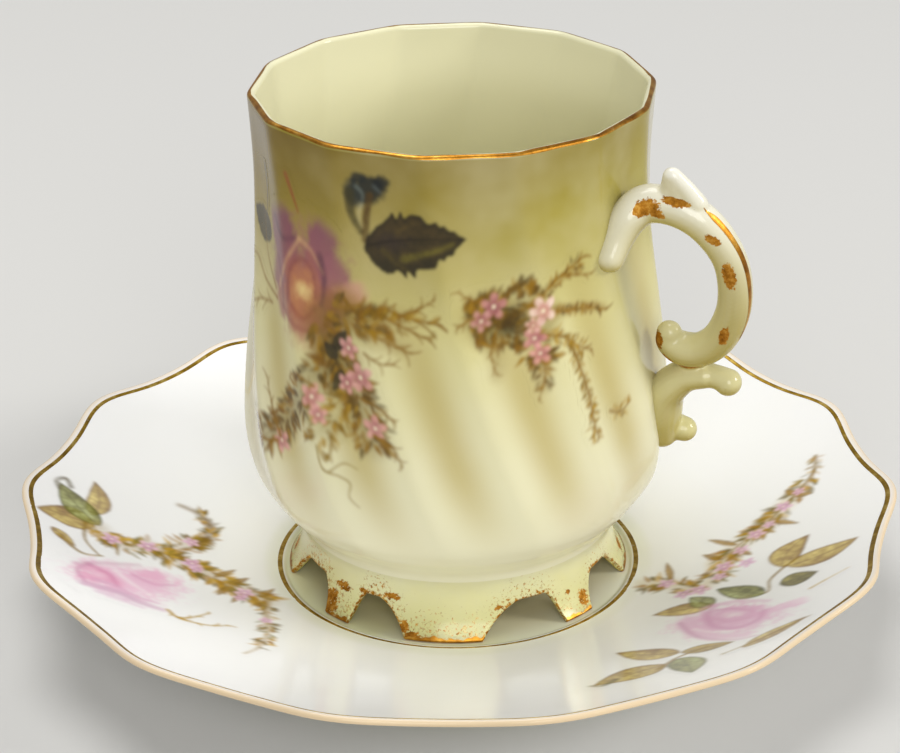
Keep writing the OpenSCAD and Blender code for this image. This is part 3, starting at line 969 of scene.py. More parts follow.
def paint_rose_spray():
    """The large rose on the cup, with leaves above and a fall of small blossoms below."""
    c = cup_canvas(-152, -63, 26, 88, 11)
    c.leaf((-133, 68), (-147, 71), 6.0, "2A2410", "453C20", teeth=0.12)
    c.stroke([(-137, 80), (-136, 76), (-137, 71)], 0.7, "3E3414")
    c.stroke([(-128, 58.5), (-136, 60), (-143, 63), (-149, 62)], 0.7, TWIG)
    c.stroke([(-129, 60), (-136, 65), (-139, 72)], 0.6, TWIG, 0.75)
    c.twig([(-131, 57), (-139, 56), (-147, 53)], 0.55, 7, 2.4, 0.8)
    c.stroke([(-122, 81.2), (-120, 78.6), (-117.4, 75.4)], 1.0, "8E4A16", 0.9)

    c.blot((-114, 65), (9.6, 9.6), "985E62", 0.7, soft=0.7)
    c.petal((-118, 60), (-128.5, 76), 13, "8A525A", "74425A", 0.9, 0.5)
    c.petal((-115, 61), (-105, 76), 11.5, "945A60", "7E465C", 0.9, 0.55)
    c.petal((-112, 61), (-98.5, 70), 10, "A2666A", "8C5260", 0.85, 0.55)
    c.petal((-108, 61.5), (-91.5, 66), 6.6, "B47C6C", "D2A488", 0.85, 0.55)
    c.petal((-114, 62), (-132, 64), 10.5, "945854", "865460", 0.85, 0.55)
    c.petal((-114, 63), (-128, 57), 9, "A4644E", "98605C", 0.85, 0.55)
    c.petal((-113, 64), (-117, 54), 10, "AC6C50", "A26454", 0.85, 0.55)
    c.petal((-111, 64), (-103, 54.6), 10, "AA6A56", "9E6460", 0.85, 0.55)
    c.petal((-110, 64), (-98.5, 59), 7.5, "A0625A", "905658", 0.8, 0.55)
    c.blot((-109, 54.4), (8.5, 2.6), "B27C62", 0.5, soft=1.0)
    c.blot((-103, 58), (4, 2.4), "945248", 0.45, turn=20, soft=1.0)
    c.blot((-115, 63.6), (5.4, 5.8), "A6624E", 0.65, soft=0.8)
    c.stroke([(-126, 61.4), (-121.6, 66.6), (-117, 70.8)], 1.0, ROSE_EDGE, 0.75, 0.7, 0.4)
    c.stroke([(-117, 70.8), (-112.4, 69.6), (-107.6, 66.4)], 1.0, ROSE_EDGE, 0.65, 0.6, 0.4)
    c.petal((-115.5, 57.6), (-120.4, 68.4), 6.4, "B67A50", "985454", 0.75, 0.7)
    c.petal((-114.5, 57.6), (-110.4, 68), 6.4, "B07250", "8C4C5A", 0.75, 0.7)
    c.blot((-115, 63), (3.8, 4.2), "C08450", 0.8, soft=1.0)
    c.blot((-115, 62.4), (2.3, 1.7), "E0C684", 0.9, soft=1.0)
    heart = [(-120.6, 60), (-120, 65), (-116, 67.6), (-111.6, 66), (-110.2, 62)]
    c.stroke(heart, 0.8, "783A3C", 0.45, 0.5, 0.5)
    c.stroke([(-118.6, 59.4), (-114, 57.8), (-110, 60.2)], 0.8, "803E34", 0.45, 0.5, 0.5)
    c.stroke([(-109, 69), (-107.2, 65.5), (-108.2, 61)], 1.5, "52303E", 0.6, 0.5, 0.6)
    c.stroke([(-129, 72.6), (-124, 70), (-118.8, 70.8)], 1.2, "562E40", 0.5, 0.5, 0.6)
    c.stroke([(-104.6, 60.6), (-99, 62), (-94.6, 63)], 0.8, "864236", 0.6, 0.5, 0.4)
    c.stroke([(-123.4, 58.2), (-116, 56), (-108, 56.6), (-101.4, 60)], 0.8, "844440", 0.4, 0.5, 0.5)
    c.stroke([(-127, 66), (-124, 62), (-123.6, 58)], 1.2, "6E3E44", 0.4, 0.5, 0.6)

    c.blot((-91.6, 82.4), (3.4, 2.6), "1E2220", 0.95, turn=15, soft=0.35, rough=0.1)
    c.blot((-96.2, 81.4), (1.9, 2.7), "2E322C", 0.92, turn=10, soft=0.45, rough=0.1)
    c.blot((-88, 83.9), (1.7, 1.4), "181C1C", 0.92, soft=0.45, rough=0.12)
    c.blot((-94.6, 84.3), (1.6, 1.0), "222622", 0.9, soft=0.5, rough=0.12)
    c.stroke([(-97.6, 81.6), (-97.2, 78.4), (-94.4, 75.2)], 1.9, "3A3418", 0.85, 0.5, 0.35)
    c.stroke([(-91.6, 81.4), (-92.6, 78.4), (-93.2, 74)], 1.5, "523A12", 0.85, 0.8, 0.3)
    c.stroke([(-95.4, 82.8), (-93.6, 81.6), (-94, 79.4)], 0.7, "8C968C", 0.55, 0.4, 0.25)
    c.stroke([(-90.2, 83.2), (-88.4, 82.2)], 0.6, "6C7878", 0.5, 0.5, 0.25)
    c.stroke([(-94.4, 79.8), (-95, 77.6), (-94, 76)], 0.8, "B8AC7C", 0.6, 0.5, 0.3)
    c.leaf((-93.4, 72.4), (-64.8, 75), 11.2, "1A1208", "43331A", 0.95, teeth=0.2, bend=0.4)
    c.blot((-86, 74), (4, 2), "382C30", 0.5, turn=5, soft=1.0)
    c.stroke([(-82, 71.4), (-76, 72.6), (-68.6, 74.2)], 1.4, "7C7424", 0.65, 0.5, 0.5)
    c.stroke([(-88, 72.6), (-84, 70.4), (-80, 69.4)], 0.9, "5E521C", 0.5, 0.4, 0.4)
    c.stroke([(-84, 75.6), (-80, 77.4), (-76.6, 78)], 0.9, "5A4A1E", 0.45, 0.4, 0.4)
    c.stroke([(-93, 73), (-84, 74.4), (-74, 75.2), (-65, 75)], 0.5, "120C06", 0.6)

    c.stroke([(-101, 62), (-93, 60.6), (-84, 60.8)], 5.4, "866408", 0.6, 0.5, 2.2)
    c.stroke([(-97, 60), (-90, 57.6), (-83, 56.4)], 3.6, "8A6C14", 0.5, 0.5, 1.8)
    c.twig([(-100, 63.5), (-95, 61.5), (-88, 62.6), (-80, 61.4), (-71.6, 60.8)], 0.9, 11, 3.2, 0.92)
    c.twig([(-84, 61.6), (-78.5, 63), (-73.6, 65)], 0.65, 6, 1.8, 0.9)
    c.twig([(-90, 62), (-82, 59.8), (-74.6, 58)], 0.65, 7, 2.0, 0.9)
    c.twig([(-96, 60.5), (-88, 57.5), (-80, 55.6)], 0.65, 8, 2.4)
    c.foliage([(-104, 61), (-96, 60), (-87, 60.5)], 1.8, 70, 2.6, OLIVE)
    c.foliage([(-94, 60), (-84, 60.4), (-74, 60)], 1.6, 40, 1.6, OLIVE_PALE, 0.7)

    c.stroke([(-106, 58), (-101, 52), (-95, 46), (-90, 40)], 8.0, "745C14", 0.6, 0.5, 2.6)
    c.stroke([(-104, 53), (-113, 45), (-122, 37), (-133, 33)], 6.4, "745C14", 0.58, 0.5, 2.4)
    c.blot((-106, 41), (5, 4), "8C7A34", 0.45, soft=1.0)
    c.foliage([(-109, 58), (-103, 54), (-98, 51), (-93, 45), (-90, 39)], 2.6, 190, 2.4, OLIVE, 0.88)
    c.foliage([(-104, 52), (-112, 46), (-118, 41), (-124, 36), (-133, 33)], 2.4, 170, 2.3, OLIVE, 0.88)
    c.foliage([(-98, 47), (-103, 42), (-107, 37)], 2.4, 70, 2.1, OLIVE_PALE)
    c.leaf((-103, 54), (-99, 58), 2.6, *DARK_LEAFLET, 0.85)
    c.leaf((-102, 52.6), (-106.8, 55), 2.4, *DARK_LEAFLET, 0.85)
    c.leaf((-100, 51), (-103, 47), 2.2, "2A220C", "4A4020", 0.8)
    for angle, z, radius, turn in (
        (-98.2, 55.1, 2.2, 10), (-94.2, 50.6, 2.7, 40), (-109.4, 45.2, 2.6, 75), (-89.6, 42.4, 2.4, 20),
        (-122.3, 34.4, 2.3, 50), (-98.6, 49, 2.0, 5), (-107, 42.4, 2.0, 30),
    ):
        c.blossom((angle, z), radius, turn, "DFA89E", "B06E72", EYE)
    c.twig([(-90, 41), (-85, 40), (-82, 36.6)], 0.6, 7, 1.7)
    c.twig([(-94, 47), (-88, 46), (-84, 44)], 0.6, 7, 1.8)
    c.twig([(-93, 55), (-88, 53.6), (-84.6, 53.8)], 0.55, 6, 1.7, 0.8)
    c.twig([(-109, 47), (-115, 48), (-119, 47)], 0.55, 6, 1.7, 0.8)
    tendril = [(-107, 37), (-105, 33.4), (-100, 32.6), (-97, 31.6), (-97.2, 29.2), (-94.5, 27.5)]
    c.stroke(tendril, 0.55, TENDRIL, 0.8)
    c.stroke([(-103, 33), (-99, 35), (-95, 34.4)], 0.5, TENDRIL, 0.7)
    c.twig([(-124, 34), (-131, 33), (-137, 35.5)], 0.6, 8, 2.0, 0.88)
    c.twig([(-123, 35), (-127, 39), (-131, 44)], 0.6, 8, 2.0)
    c.clear((SPRAY_SEAM, 26), (-62, 70))
    return c.sheet("cup_rose_spray", on_wall)


def paint_blossom_spray():
    """The spray of small blossoms to the right of the rose."""
    c = cup_canvas(SPRAY_SEAM + 0.6, -10, 35, 72, 12)
    c.stroke([(-60, 61.4), (-56, 61.2), (-50, 61.6), (-43, 60.4)], 7.0, "75590A", 0.68, 0.6, 2.8)
    c.stroke([(-60, 59), (-57, 55), (-57, 52)], 3.0, "866C18", 0.45, 0.5, 1.6)
    c.stroke([(-47, 58), (-44, 53), (-44, 49)], 3.0, "866408", 0.5, 0.5, 1.6)
    c.blot((-53.6, 60.4), (4.0, 3.0), "3A2E0A", 0.8, soft=1.0, rough=0.25)
    c.foliage([(-65, 61.5), (-59, 62.5), (-53, 63.5), (-46, 64.4)], 2.6, 160, 2.1, OLIVE, 0.88)
    c.foliage([(-62, 60), (-55, 59), (-49, 57.6), (-44, 53)], 2.2, 120, 2.1, OLIVE, 0.88)
    c.blot((-53.6, 60), (4.2, 2.8), "32260A", 0.6, soft=1.0, rough=0.25)
    c.twig([(-61, 62), (-64.6, 61.5), (-67.6, 60.4)], 0.6, 6, 1.4, 0.8)
    c.twig([(-60, 64), (-64, 65), (-67.4, 66.4)], 0.55, 6, 1.4, 0.7)
    c.twig([(-47, 63), (-41, 65.8), (-35, 67.4), (-28.6, 69)], 0.75, 9, 1.8, 0.92)
    c.twig([(-37, 67), (-31, 66), (-26.4, 65.6)], 0.6, 4, 1.2, 0.88)
    c.twig([(-45, 61.8), (-36, 60.8), (-29, 60.1), (-21.5, 58.6)], 0.75, 8, 1.6, 0.92)
    c.twig([(-45, 58), (-38, 56.8), (-33, 54.4), (-27.6, 52.6)], 0.7, 7, 1.5, 0.88)
    fall = [(-36, 56), (-32.4, 50), (-30, 44.5), (-29.6, 41), (-28, 37.6)]
    c.stroke(fall, 1.5, "9C8028", 0.5, 0.5, 0.9)
    c.twig(fall, 0.6, 13, 1.2)
    c.foliage(fall, 0.8, 80, 1.3, OLIVE_PALE, 0.88)
    c.stroke([(-46, 64), (-38, 66.2), (-33, 67.4)], 1.4, "9C7A22", 0.55, 0.4, 1.0)
    c.stroke([(-45, 61.6), (-34, 60.8), (-23, 59.2)], 1.8, "946E14", 0.7, 0.4, 1.1)
    c.foliage([(-46, 64), (-38, 66.4), (-31, 68)], 0.8, 56, 1.1, OLIVE, 0.85)
    c.foliage([(-44, 61.5), (-34, 60.8), (-24, 59.4)], 0.5, 64, 1.0, OLIVE, 0.85)
    c.foliage([(-44, 58), (-37, 56.4), (-31, 53.6)], 0.8, 44, 1.4, OLIVE_PALE, 0.85)
    c.twig([(-46, 55), (-43.5, 51.5), (-45.5, 46.6)], 0.6, 6, 1.3, 0.82)
    c.twig([(-57, 59), (-58.5, 55.5), (-57, 52)], 0.6, 6, 1.4, 0.8)
    c.foliage([(-46, 55), (-44, 52), (-43.6, 49)], 0.9, 34, 1.5, OLIVE, 0.85)
    c.stroke([(-22.5, 41), (-18, 39.8), (-13.6, 40.8)], 0.6, TWIG, 0.8)
    c.foliage([(-22, 41), (-18, 39.8), (-14, 40.4)], 0.7, 18, 1.5, OLIVE_PALE, 0.85)
    for angle, z, radius, turn, edge, middle in (
        (-57.4, 63.4, 2.5, 15, "C68A86", "96565C"), (-43.8, 61.9, 2.7, 40, "F3D8CC", "CC9086"),
        (-46.3, 57.4, 2.2, 70, "D69A92", "A8626A"), (-44.8, 54.7, 2.1, 30, "DEA298", "B06A6C"),
        (-61, 61.2, 2.0, 50, "C8948A", "965858"), (-46.6, 59.6, 1.5, 20, "E4B8A8", "BC7C70"),
    ):
        c.blossom((angle, z), radius, turn, edge, middle, EYE)
    return c.sheet("cup_blossom_spray", on_wall)


def paint_leaflets(c, *places):
    """Narrow leaves without ribs, each from a base to a tip."""
    for base, tip in places:
        c.leaf(base, tip, 1.5, *SAUCER_LEAFLET, 0.85, rib=False)


def paint_lilacs(c, strength, *places):
    """Small lilac blossoms, each at a place and with a radius that also turns it."""
    for angle, r, radius in places:
        c.blossom((angle, r), radius, 40 * radius, *LILAC, strength)


def paint_left_rose(c):
    """A pale rose on its side: a deep cup, a wing beyond a bare gap, and loose petals below."""
    c.blot((-137.6, 60.6), (10.4, 6.8), "EEC4DA", 1.0, turn=40, soft=0.65)
    c.blot((-138, 65.4), (4.4, 3.8), "E6A4C2", 0.8, turn=40, soft=0.7)
    c.stroke([(-141.6, 66), (-139, 63), (-135.4, 62.6)], 1.4, "D585AA", 0.65, 0.6, 0.6)
    c.stroke([(-141.8, 65.6), (-139, 68.4), (-135.4, 68)], 1.0, "C888AA", 0.55, 0.6, 0.5)
    c.blot((-138.4, 65), (1.6, 1.3), "F4D2E0", 0.7, turn=40, soft=1.0)
    c.blot((-140.8, 55), (4.4, 3.0), "EDB4D0", 0.85, turn=40, soft=0.8)
    c.stroke([(-140.4, 58.6), (-137.8, 55.4), (-138.6, 52)], 1.0, "DB9ABE", 0.55, 0.6, 0.5)
    c.stroke([(-141, 68), (-143, 62.7), (-144.6, 57)], 1.4, "C690AA", 0.45, 0.5, 0.8)
    c.stroke([(-140.6, 61.4), (-137.4, 59.8), (-133.4, 57.6)], 1.3, WHITE, 0.5, 0.7, 0.7)
    c.blot((-131.8, 62.4), (6.4, 2.4), "DCB2CC", 0.6, turn=13, soft=1.0)
    c.stroke([(-134.8, 68.4), (-133.1, 62.9), (-130.2, 60.6), (-127.8, 57.6)], 2.0, "CDA2BE", 0.65, 0.6, 0.8)
    c.stroke([(-136.6, 66), (-135.4, 63), (-132.4, 60.4), (-130.4, 57.4)], 1.3, "DCA8C6", 0.6, 0.6, 0.5)
    c.stroke([(-132.6, 67), (-130.6, 64), (-128.2, 61)], 1.3, "DDB6D0", 0.5, 0.6, 0.6)


def paint_right_rose(c):
    """A rose with a pale heart, a broad petal turned down in front and a wing behind."""
    c.petal((-12, 61), (-8.4, 68), 6.0, "ECC6DC", "F4DEEA", 0.75, 0.6)
    c.blot((-14.8, 56.4), (10.4, 7.4), "ECC4DC", 1.0, turn=-13, soft=0.6)
    c.blot((-12.8, 56), (5.4, 4.4), "E6B4D2", 0.85, turn=-13, soft=0.7)
    c.stroke([(-16.2, 48.6), (-20.2, 53), (-21.6, 58), (-20.8, 63.4)], 3.4, "E9C0D9", 0.75, 0.7, 1.0)
    c.stroke([(-17.1, 48), (-22.2, 55), (-22.6, 62.6), (-20.8, 65.8)], 1.0, "CE94B8", 0.55, 0.5, 0.5)
    outline = [(-8.6, 50.3), (-13.3, 51.2), (-17.6, 55), (-18, 59.6), (-15, 61.8), (-11.4, 60.8)]
    c.stroke(outline, 1.5, "D493BB", 0.5, 0.6, 0.7)
    c.stroke([(-8.6, 50.3), (-7.1, 54.2), (-7.9, 59.9)], 1.3, "D9A0C2", 0.5, 0.6, 0.7)
    c.stroke([(-10.8, 51.8), (-10.2, 55), (-11.8, 58.8)], 0.9, "DDA4C6", 0.55, 0.6, 0.4)
    c.stroke([(-14.4, 53.4), (-15.6, 56.6), (-13.8, 59.6)], 0.9, "E0ACCA", 0.55, 0.6, 0.4)
    c.blot((-12.6, 55.8), (2.6, 1.6), WHITE, 0.6, turn=-13, soft=1.0)
    c.stroke([(-19, 52), (-19.8, 56), (-19, 60)], 0.9, WHITE, 0.6, 0.5, 0.5)


def paint_saucer_left():
    """The spray to the left of the cup: leaves, a pale rose and two garlands."""
    c = saucer_canvas((-76, -66), (-8, -4), 13)
    c.leaf((-157.6, 64.8), (-167.6, 66.6), 4.4, *SAUCER_LEAF, 0.85, bend=-1.0)
    c.leaf((-154.4, 64), (-154.8, 74), 7.0, *SAUCER_LEAF, bend=-0.6)
    c.leaf((-155, 63.4), (-163.6, 71.6), 5.8, *SAUCER_GREY, bend=0.6)
    c.stroke([(-163.6, 69.6), (-165.2, 71), (-163.8, 72.2), (-162, 71.4)], 1.0, SAUCER_CURL, 0.8, 0.7, 0.4)
    c.stroke([(-148.8, 70), (-144.9, 66.7), (-145.3, 63)], 1.1, SAUCER_STEM)
    c.stroke([(-154.8, 65.7), (-149.4, 65.6), (-145.1, 63.5)], 0.9, SAUCER_STEM)
    c.leaf((-150.6, 71.2), (-146.4, 67.4), 2.4, *SAUCER_LEAF, 0.88)
    paint_left_rose(c)

    first = [
        (-154.6, 63.6), (-151.8, 61.1), (-150.6, 58), (-152.5, 54.9), (-153, 50.8), (-158.2, 47.8),
        (-158.5, 45.7),
    ]
    c.stroke(first, 3.4, SAUCER_SHADE, 0.45, 0.8, 1.8)
    c.foliage(first, 1.4, 60, 2.0, GARLAND)
    c.foliage(first, 1.8, 120, 2.6, GARLAND, 0.85, tufts=3)
    curl = [(-158.4, 46.4), (-162, 44.8), (-167.6, 45.6), (-170.6, 48.4), (-171, 52)]
    c.stroke(curl, 2.8, "7E5E04", 0.8, 0.25, 0.8)
    c.foliage(curl[:4], 1.0, 50, 1.8, GARLAND, 0.85)
    second = [(-151.4, 53.6), (-148.3, 48.9), (-145.2, 44.8), (-138.4, 40.4), (-131.6, 37)]
    c.stroke(second, 3.6, SAUCER_SHADE, 0.5, 0.9, 1.8)
    c.foliage(second, 1.6, 90, 2.1, GARLAND)
    c.foliage(second, 2.0, 150, 2.8, GARLAND, 0.85, tufts=4)
    paint_leaflets(
        c, ((-144, 44), (-149, 39.6)), ((-141, 42), (-145, 37.6)), ((-134, 38), (-138.6, 34)),
        ((-137, 40), (-131.4, 43.8)), ((-140, 42), (-135, 45.4)), ((-132, 37.6), (-126, 39.6)),
    )
    tail = [(-131.6, 37), (-121.4, 40.9), (-115.4, 43.8), (-109.8, 49.9), (-108.4, 54.4)]
    c.stroke(tail, 1.4, SAUCER_SHADE, 0.7, 0.3, 0.5)
    c.foliage(tail[:4], 0.9, 60, 1.8, GARLAND, 0.85, tufts=3)
    paint_lilacs(
        c, 0.9, (-151.9, 61.1, 2.0), (-152.5, 54.9, 2.1), (-158.2, 47.6, 1.7), (-149, 47.4, 2.0),
        (-146.6, 46.8, 1.4), (-136.7, 39.9, 2.0), (-134, 41.4, 1.4), (-121.4, 40.9, 1.4),
    )
    c.twig([(-127.9, 56.6), (-124.4, 56), (-121.4, 52.2), (-120.9, 48.6)], 0.9, 5, 1.8, colour=SAUCER_TWIG)
    c.twig([(-125, 56.3), (-124.8, 54), (-126.8, 49.4)], 0.8, 4, 1.6, colour=SAUCER_TWIG)
    return c.sheet("saucer_left_spray", on_saucer)


def paint_saucer_right():
    """The spray to the right of the cup: a rose among leaves, with a garland that climbs behind it."""
    c = saucer_canvas((20, -56), (76, 46), 14)
    climb = [(36.3, 67.7), (32.4, 65.7), (28.4, 61.2), (23.1, 55.8), (20.5, 53.7), (16.7, 49.8), (11.2, 46.9)]
    low = [(11.2, 46.9), (5.4, 46.8), (0.4, 45.2), (0.4, 41.6), (2.8, 38.6), (2.6, 34.6)]
    c.stroke(climb[2:], 3.4, SAUCER_PALE, 0.4, 1.2, 1.8)
    c.stroke(low, 3.4, SAUCER_PALE, 0.4, 0.8, 1.8)
    c.stroke(climb, 0.9, SAUCER_STEM, 0.8)
    c.foliage(climb[2:], 1.3, 60, 1.9, GARLAND, 0.75)
    c.foliage(climb[1:], 1.7, 120, 2.4, GARLAND, tufts=4)
    c.foliage(climb[:3], 0.7, 26, 1.4, GARLAND)
    c.foliage(low, 1.8, 120, 2.3, GARLAND, tufts=3)
    paint_leaflets(
        c, ((17, 49.6), (22.4, 44.6)), ((15, 49.6), (11.4, 52.4)), ((22.4, 56), (18.8, 60.4)),
        ((28, 61), (26.6, 64)), ((28.4, 61.2), (31, 60)), ((5, 39), (14.6, 37.3)), ((12, 47), (16, 43.4)),
    )
    paint_lilacs(
        c, 0.88, (26, 58.6, 1.8), (28.8, 62, 1.3), (19.3, 53, 1.9), (21.6, 55.4, 1.4), (14.4, 50.4, 1.7),
        (8.7, 51.6, 1.8), (8.6, 47.8, 2.0), (2.8, 38.6, 1.8), (-1.2, 45.2, 2.1), (-3, 42.8, 1.8),
        (4.4, 47.6, 1.6),
    )
    c.stroke([(4.8, 59), (0.3, 57.3), (-4.4, 58.3), (-5.4, 55)], 0.8, SAUCER_STEM)
    c.leaf((4.4, 58.4), (14, 61.9), 6.0, *SAUCER_LEAF, 0.88, bend=1.4)
    c.leaf((4.4, 59.2), (9, 70.6), 6.0, *SAUCER_LEAF, 0.88, bend=-0.9)
    c.leaf((-2, 59.6), (0.6, 65.4), 5.2, "544A06", "A69C4C")
    c.leaf((-5, 58), (-1.2, 48.2), 5.0, *SAUCER_GREY)
    c.leaf((-8.4, 50), (-14.4, 41), 5.0, *SAUCER_LEAF, bend=-0.4)
    c.leaf((-8.6, 50), (-4.6, 44.4), 4.2, *SAUCER_GREY, 0.88)
    paint_right_rose(c)

    c.leaf((-29, 57.1), (-34.2, 46.6), 5.6, *SAUCER_LEAF, bend=0.6)
    c.leaf((-29, 57.3), (-23.2, 63.4), 4.0, "7A5C04", "C8AC50")
    c.leaf((-31, 59.2), (-35.4, 68), 6.2, *SAUCER_GREY, 0.88, bend=0.4)
    c.leaf((-34, 59.4), (-47, 59.4), 6.8, *SAUCER_LEAF, bend=-0.5)
    c.stroke([(-43, 59), (-46, 60.6), (-47.4, 59.2)], 1.2, SAUCER_CURL, 0.75, 0.7, 0.4)
    c.stroke([(-36, 60.4), (-31, 58.6), (-25.4, 60)], 0.9, SAUCER_STEM, 0.88)
    c.leaf((-25.4, 67.1), (-14.6, 70.8), 3.2, *SAUCER_LEAF, 0.85, bend=0.3)
    c.stroke([(-28, 65.6), (-22, 67.6), (-14.4, 71.2)], 0.6, SAUCER_STEM, 0.75)
    c.stroke([(-5, 66), (-2.6, 68), (0, 70.8)], 0.6, SAUCER_PALE, 0.75)
    return c.sheet("saucer_right_spray", on_saucer)


# Materials

def srgb(text):
    """A colour written as six hex digits, for shaders."""
    return tuple(to_linear(hex_rgb(text)).tolist()) + (1.0,)


class Nodes:
    """A short way to build a material's nodes."""

    def __init__(self, name):
        self.material = bpy.data.materials.new(name)
        self.material.use_nodes = True
        self.tree = self.material.node_tree
        self.shader = self.tree.nodes["Principled BSDF"]

    def put(self, value, target):
        """Feeds an input from another node's output, or sets it to a value."""
        if isinstance(value, bpy.types.NodeSocket):
            self.tree.links.new(value, target)
        else:
            target.default_value = value

    def add(self, kind, **settings):
        """A node with its settings and inputs; an input's name has _ for a space."""
        node = self.tree.nodes.new("ShaderNode" + kind)
        for key, value in settings.items():
            if hasattr(node, key):
                setattr(node, key, value)
            else:
                self.put(value, node.inputs[key.replace("_", " ")])
        return node

    def shade(self, **inputs):
        for key, value in inputs.items():
            self.put(value, self.shader.inputs[key.replace("_", " ")])

    def share(self, name):
        """A share that the mesh carries at its points."""
        return self.add("Attribute", attribute_name=name).outputs["Fac"]


def mixed(n, factor, first, second, blend_type="MIX"):
    """Colour mixed from first to second; either may be a colour or a socket."""
    node = n.add("Mix", data_type="RGBA", blend_type=blend_type)
    for index, value in ((0, factor), (6, first), (7, second)):
        n.put(value, node.inputs[index])
    return node.outputs[2]


def ramped(n, source, stops):
    """Colours or greys at shares of a value from 0 to 1."""
    node = n.add("ValToRGB", Fac=source)
    bands = node.color_ramp.elements
    while len(bands) < len(stops):
        bands.new(0.5)
    for band, (share, colour) in zip(bands, stops):
        band.position = share
        band.color = srgb(colour)
    return node.outputs[0]


def mapped(n, value, low, high, to_low=0.0, to_high=1.0):
    """A value moved from one range to another, and held inside it."""
    node = n.add("MapRange", Value=value, From_Min=low, From_Max=high, To_Min=to_low, To_Max=to_high)
    return node.outputs[0]


def noise(n, where, scale, detail, roughness=0.5):
    """Noise from 0 to 1, with its scale counted to the metre."""
    node = n.add("TexNoise", Vector=where, Scale=scale, Detail=detail, Roughness=roughness)
    return node.outputs["Fac"]


CUP_GOLD = [(0.25, "6E3E0E"), (0.5, "B9802C"), (0.75, "E0B458")]
SAUCER_GOLD = [(0.25, "6A4E0C"), (0.5, "B08C2E"), (0.75, "E6CC78")]
GLAZE_ROUGH = (0.09, 0.17)
DAB_ROUGH = 0.65
GOLD_ROUGH = (0.24, 0.5)


def stippled(n, where, share):
    """Breaks a share of gold up into fine grains that run together where it is high."""
    grain = n.add("Math", operation="MULTIPLY_ADD")
    for value, target in zip((noise(n, where, 1900, 3, 0.65), 1.8, share), grain.inputs):
        n.put(value, target)
    return mapped(n, grain.outputs[0], 1.3, 1.5)


def porcelain(name, stops, low, high, cloud, pool_and_shade=None, paint=False, gilt=None, glow=0.0, shine=0.5):
    """Glazed porcelain: a ground that changes with height and is a little clouded, a slightly wavy glaze,
    and where asked for a darker tint by a share that the mesh carries (pooled glaze in the cup's hollows,
    elsewhere painted shade), the painted colours or stippled gold that the mesh carries, and light that
    glows through thin clay."""
    n = Nodes(name)
    where = n.add("TexCoord").outputs["Object"]
    height = n.add("SeparateXYZ", Vector=where).outputs["Z"]
    ground = ramped(n, mapped(n, height, low * MM, high * MM), stops)
    patches = ramped(n, noise(n, where, 55, 3), [(0.4, "000000"), (0.75, "B0B0B0")])
    colour = mixed(n, patches, ground, srgb(cloud))
    # A darker tint multiplied in by the mesh's share: pooled glaze in the cup's hollows, painted shade
    # elsewhere
    if pool_and_shade:
        colour = mixed(n, n.share("pool_and_shade"), colour, srgb(pool_and_shade), "MULTIPLY")
    if paint:
        coat = n.add("Attribute", attribute_name="paint")
        bare = mixed(n, coat.outputs["Alpha"], colour, (0, 0, 0, 1))
        colour = mixed(n, 1.0, bare, coat.outputs["Color"], "ADD")
    rough = mapped(n, noise(n, where, 140, 2), 0, 1, *GLAZE_ROUGH)
    if gilt:
        dab = stippled(n, where, n.share("gilt"))
        colour = mixed(n, dab, colour, ramped(n, noise(n, where, 900, 4, 0.7), gilt))
        rough = mapped(n, dab, 0, 1, rough, DAB_ROUGH)
        n.shade(Metallic=dab)
    waves = n.add("Bump", Strength=0.12, Distance=0.3 * MM, Height=noise(n, where, 90, 1))
    n.shade(Base_Color=colour, Roughness=rough, Normal=waves.outputs[0], IOR=1.45, Specular_IOR_Level=shine)
    n.shade(Subsurface_Weight=glow, Subsurface_Radius=(1.0, 0.92, 0.6), Subsurface_Scale=4 * MM)
    return n.material


def gold(name, tones, bare):
    """Fired gold, browned and rubbed, with the glaze showing through where it has worn away."""
    n = Nodes(name)
    where = n.add("TexCoord").outputs["Object"]
    tone = ramped(n, noise(n, where, 320, 6, 0.7), tones)
    worn = ramped(n, noise(n, where, 260, 6, 0.7), [(0.64, "000000"), (0.8, "D0D0D0")])
    whole = ramped(n, worn, [(0, "FFFFFF"), (1, "000000")])
    rough = mapped(n, noise(n, where, 400, 3), 0, 1, *GOLD_ROUGH)
    n.shade(Base_Color=mixed(n, worn, tone, srgb(bare)), Metallic=whole, Roughness=rough)
    return n.material


# Grounds: colours by height, the heights where they start and end, and the colour of the clouding
CUP_GROUND = (
    [(0, "E5E2C6"), (0.35, "E0DBB2"), (0.62, "D5CD90"), (0.85, "ACA04A"), (1, "8E7E2C")],
    SOLE_Z + 10, SOLE_Z + CUP_H, "E4DFC0",
)
INSIDE_GROUND = ([(0, "E2DEB4"), (1, "E6E2BE")], SOLE_Z + 13, SOLE_Z + CUP_H, "E2DEB8")
FOOT_GROUND = ([(0, "D6D28E"), (1, "E3E0B8")], SOLE_Z, SOLE_Z + FOOT_H, "D2CC90")
# The handle's ground is darker lower down: painted shade
HANDLE_SHADED_GROUND = (
    [(0, "D2CA90"), (0.25, "D2CA94"), (0.5, "D0C898"), (0.8, "E4DFC4"), (1, "EDEADC")],
    35, 86, "D0C898",
)
SAUCER_GROUND = (
    [(0.28, "DEDFB6"), (0.31, "F2F1EA"), (0.5, "F4F4F3"), (1, "F5F5F6")],
    0, SAUCER_H, "F2F2F0",
)
# Tints multiplied in by each mesh's share: on the cup, pooled glaze in the hollows and painted shade; on the
# foot's inside, the handle's undersides and the saucer under the cup and round its edge, painted shade
CUP_POOL_AND_SHADE = "C8B468"
FOOT_INSIDE_SHADE = "E8D878"
HANDLE_UNDERSIDE_SHADE = "CCC080"
SAUCER_PAINTED_SHADE = "EAD2AC"
CUP_SHINE = 0.34
SAUCER_SHINE = 0.28

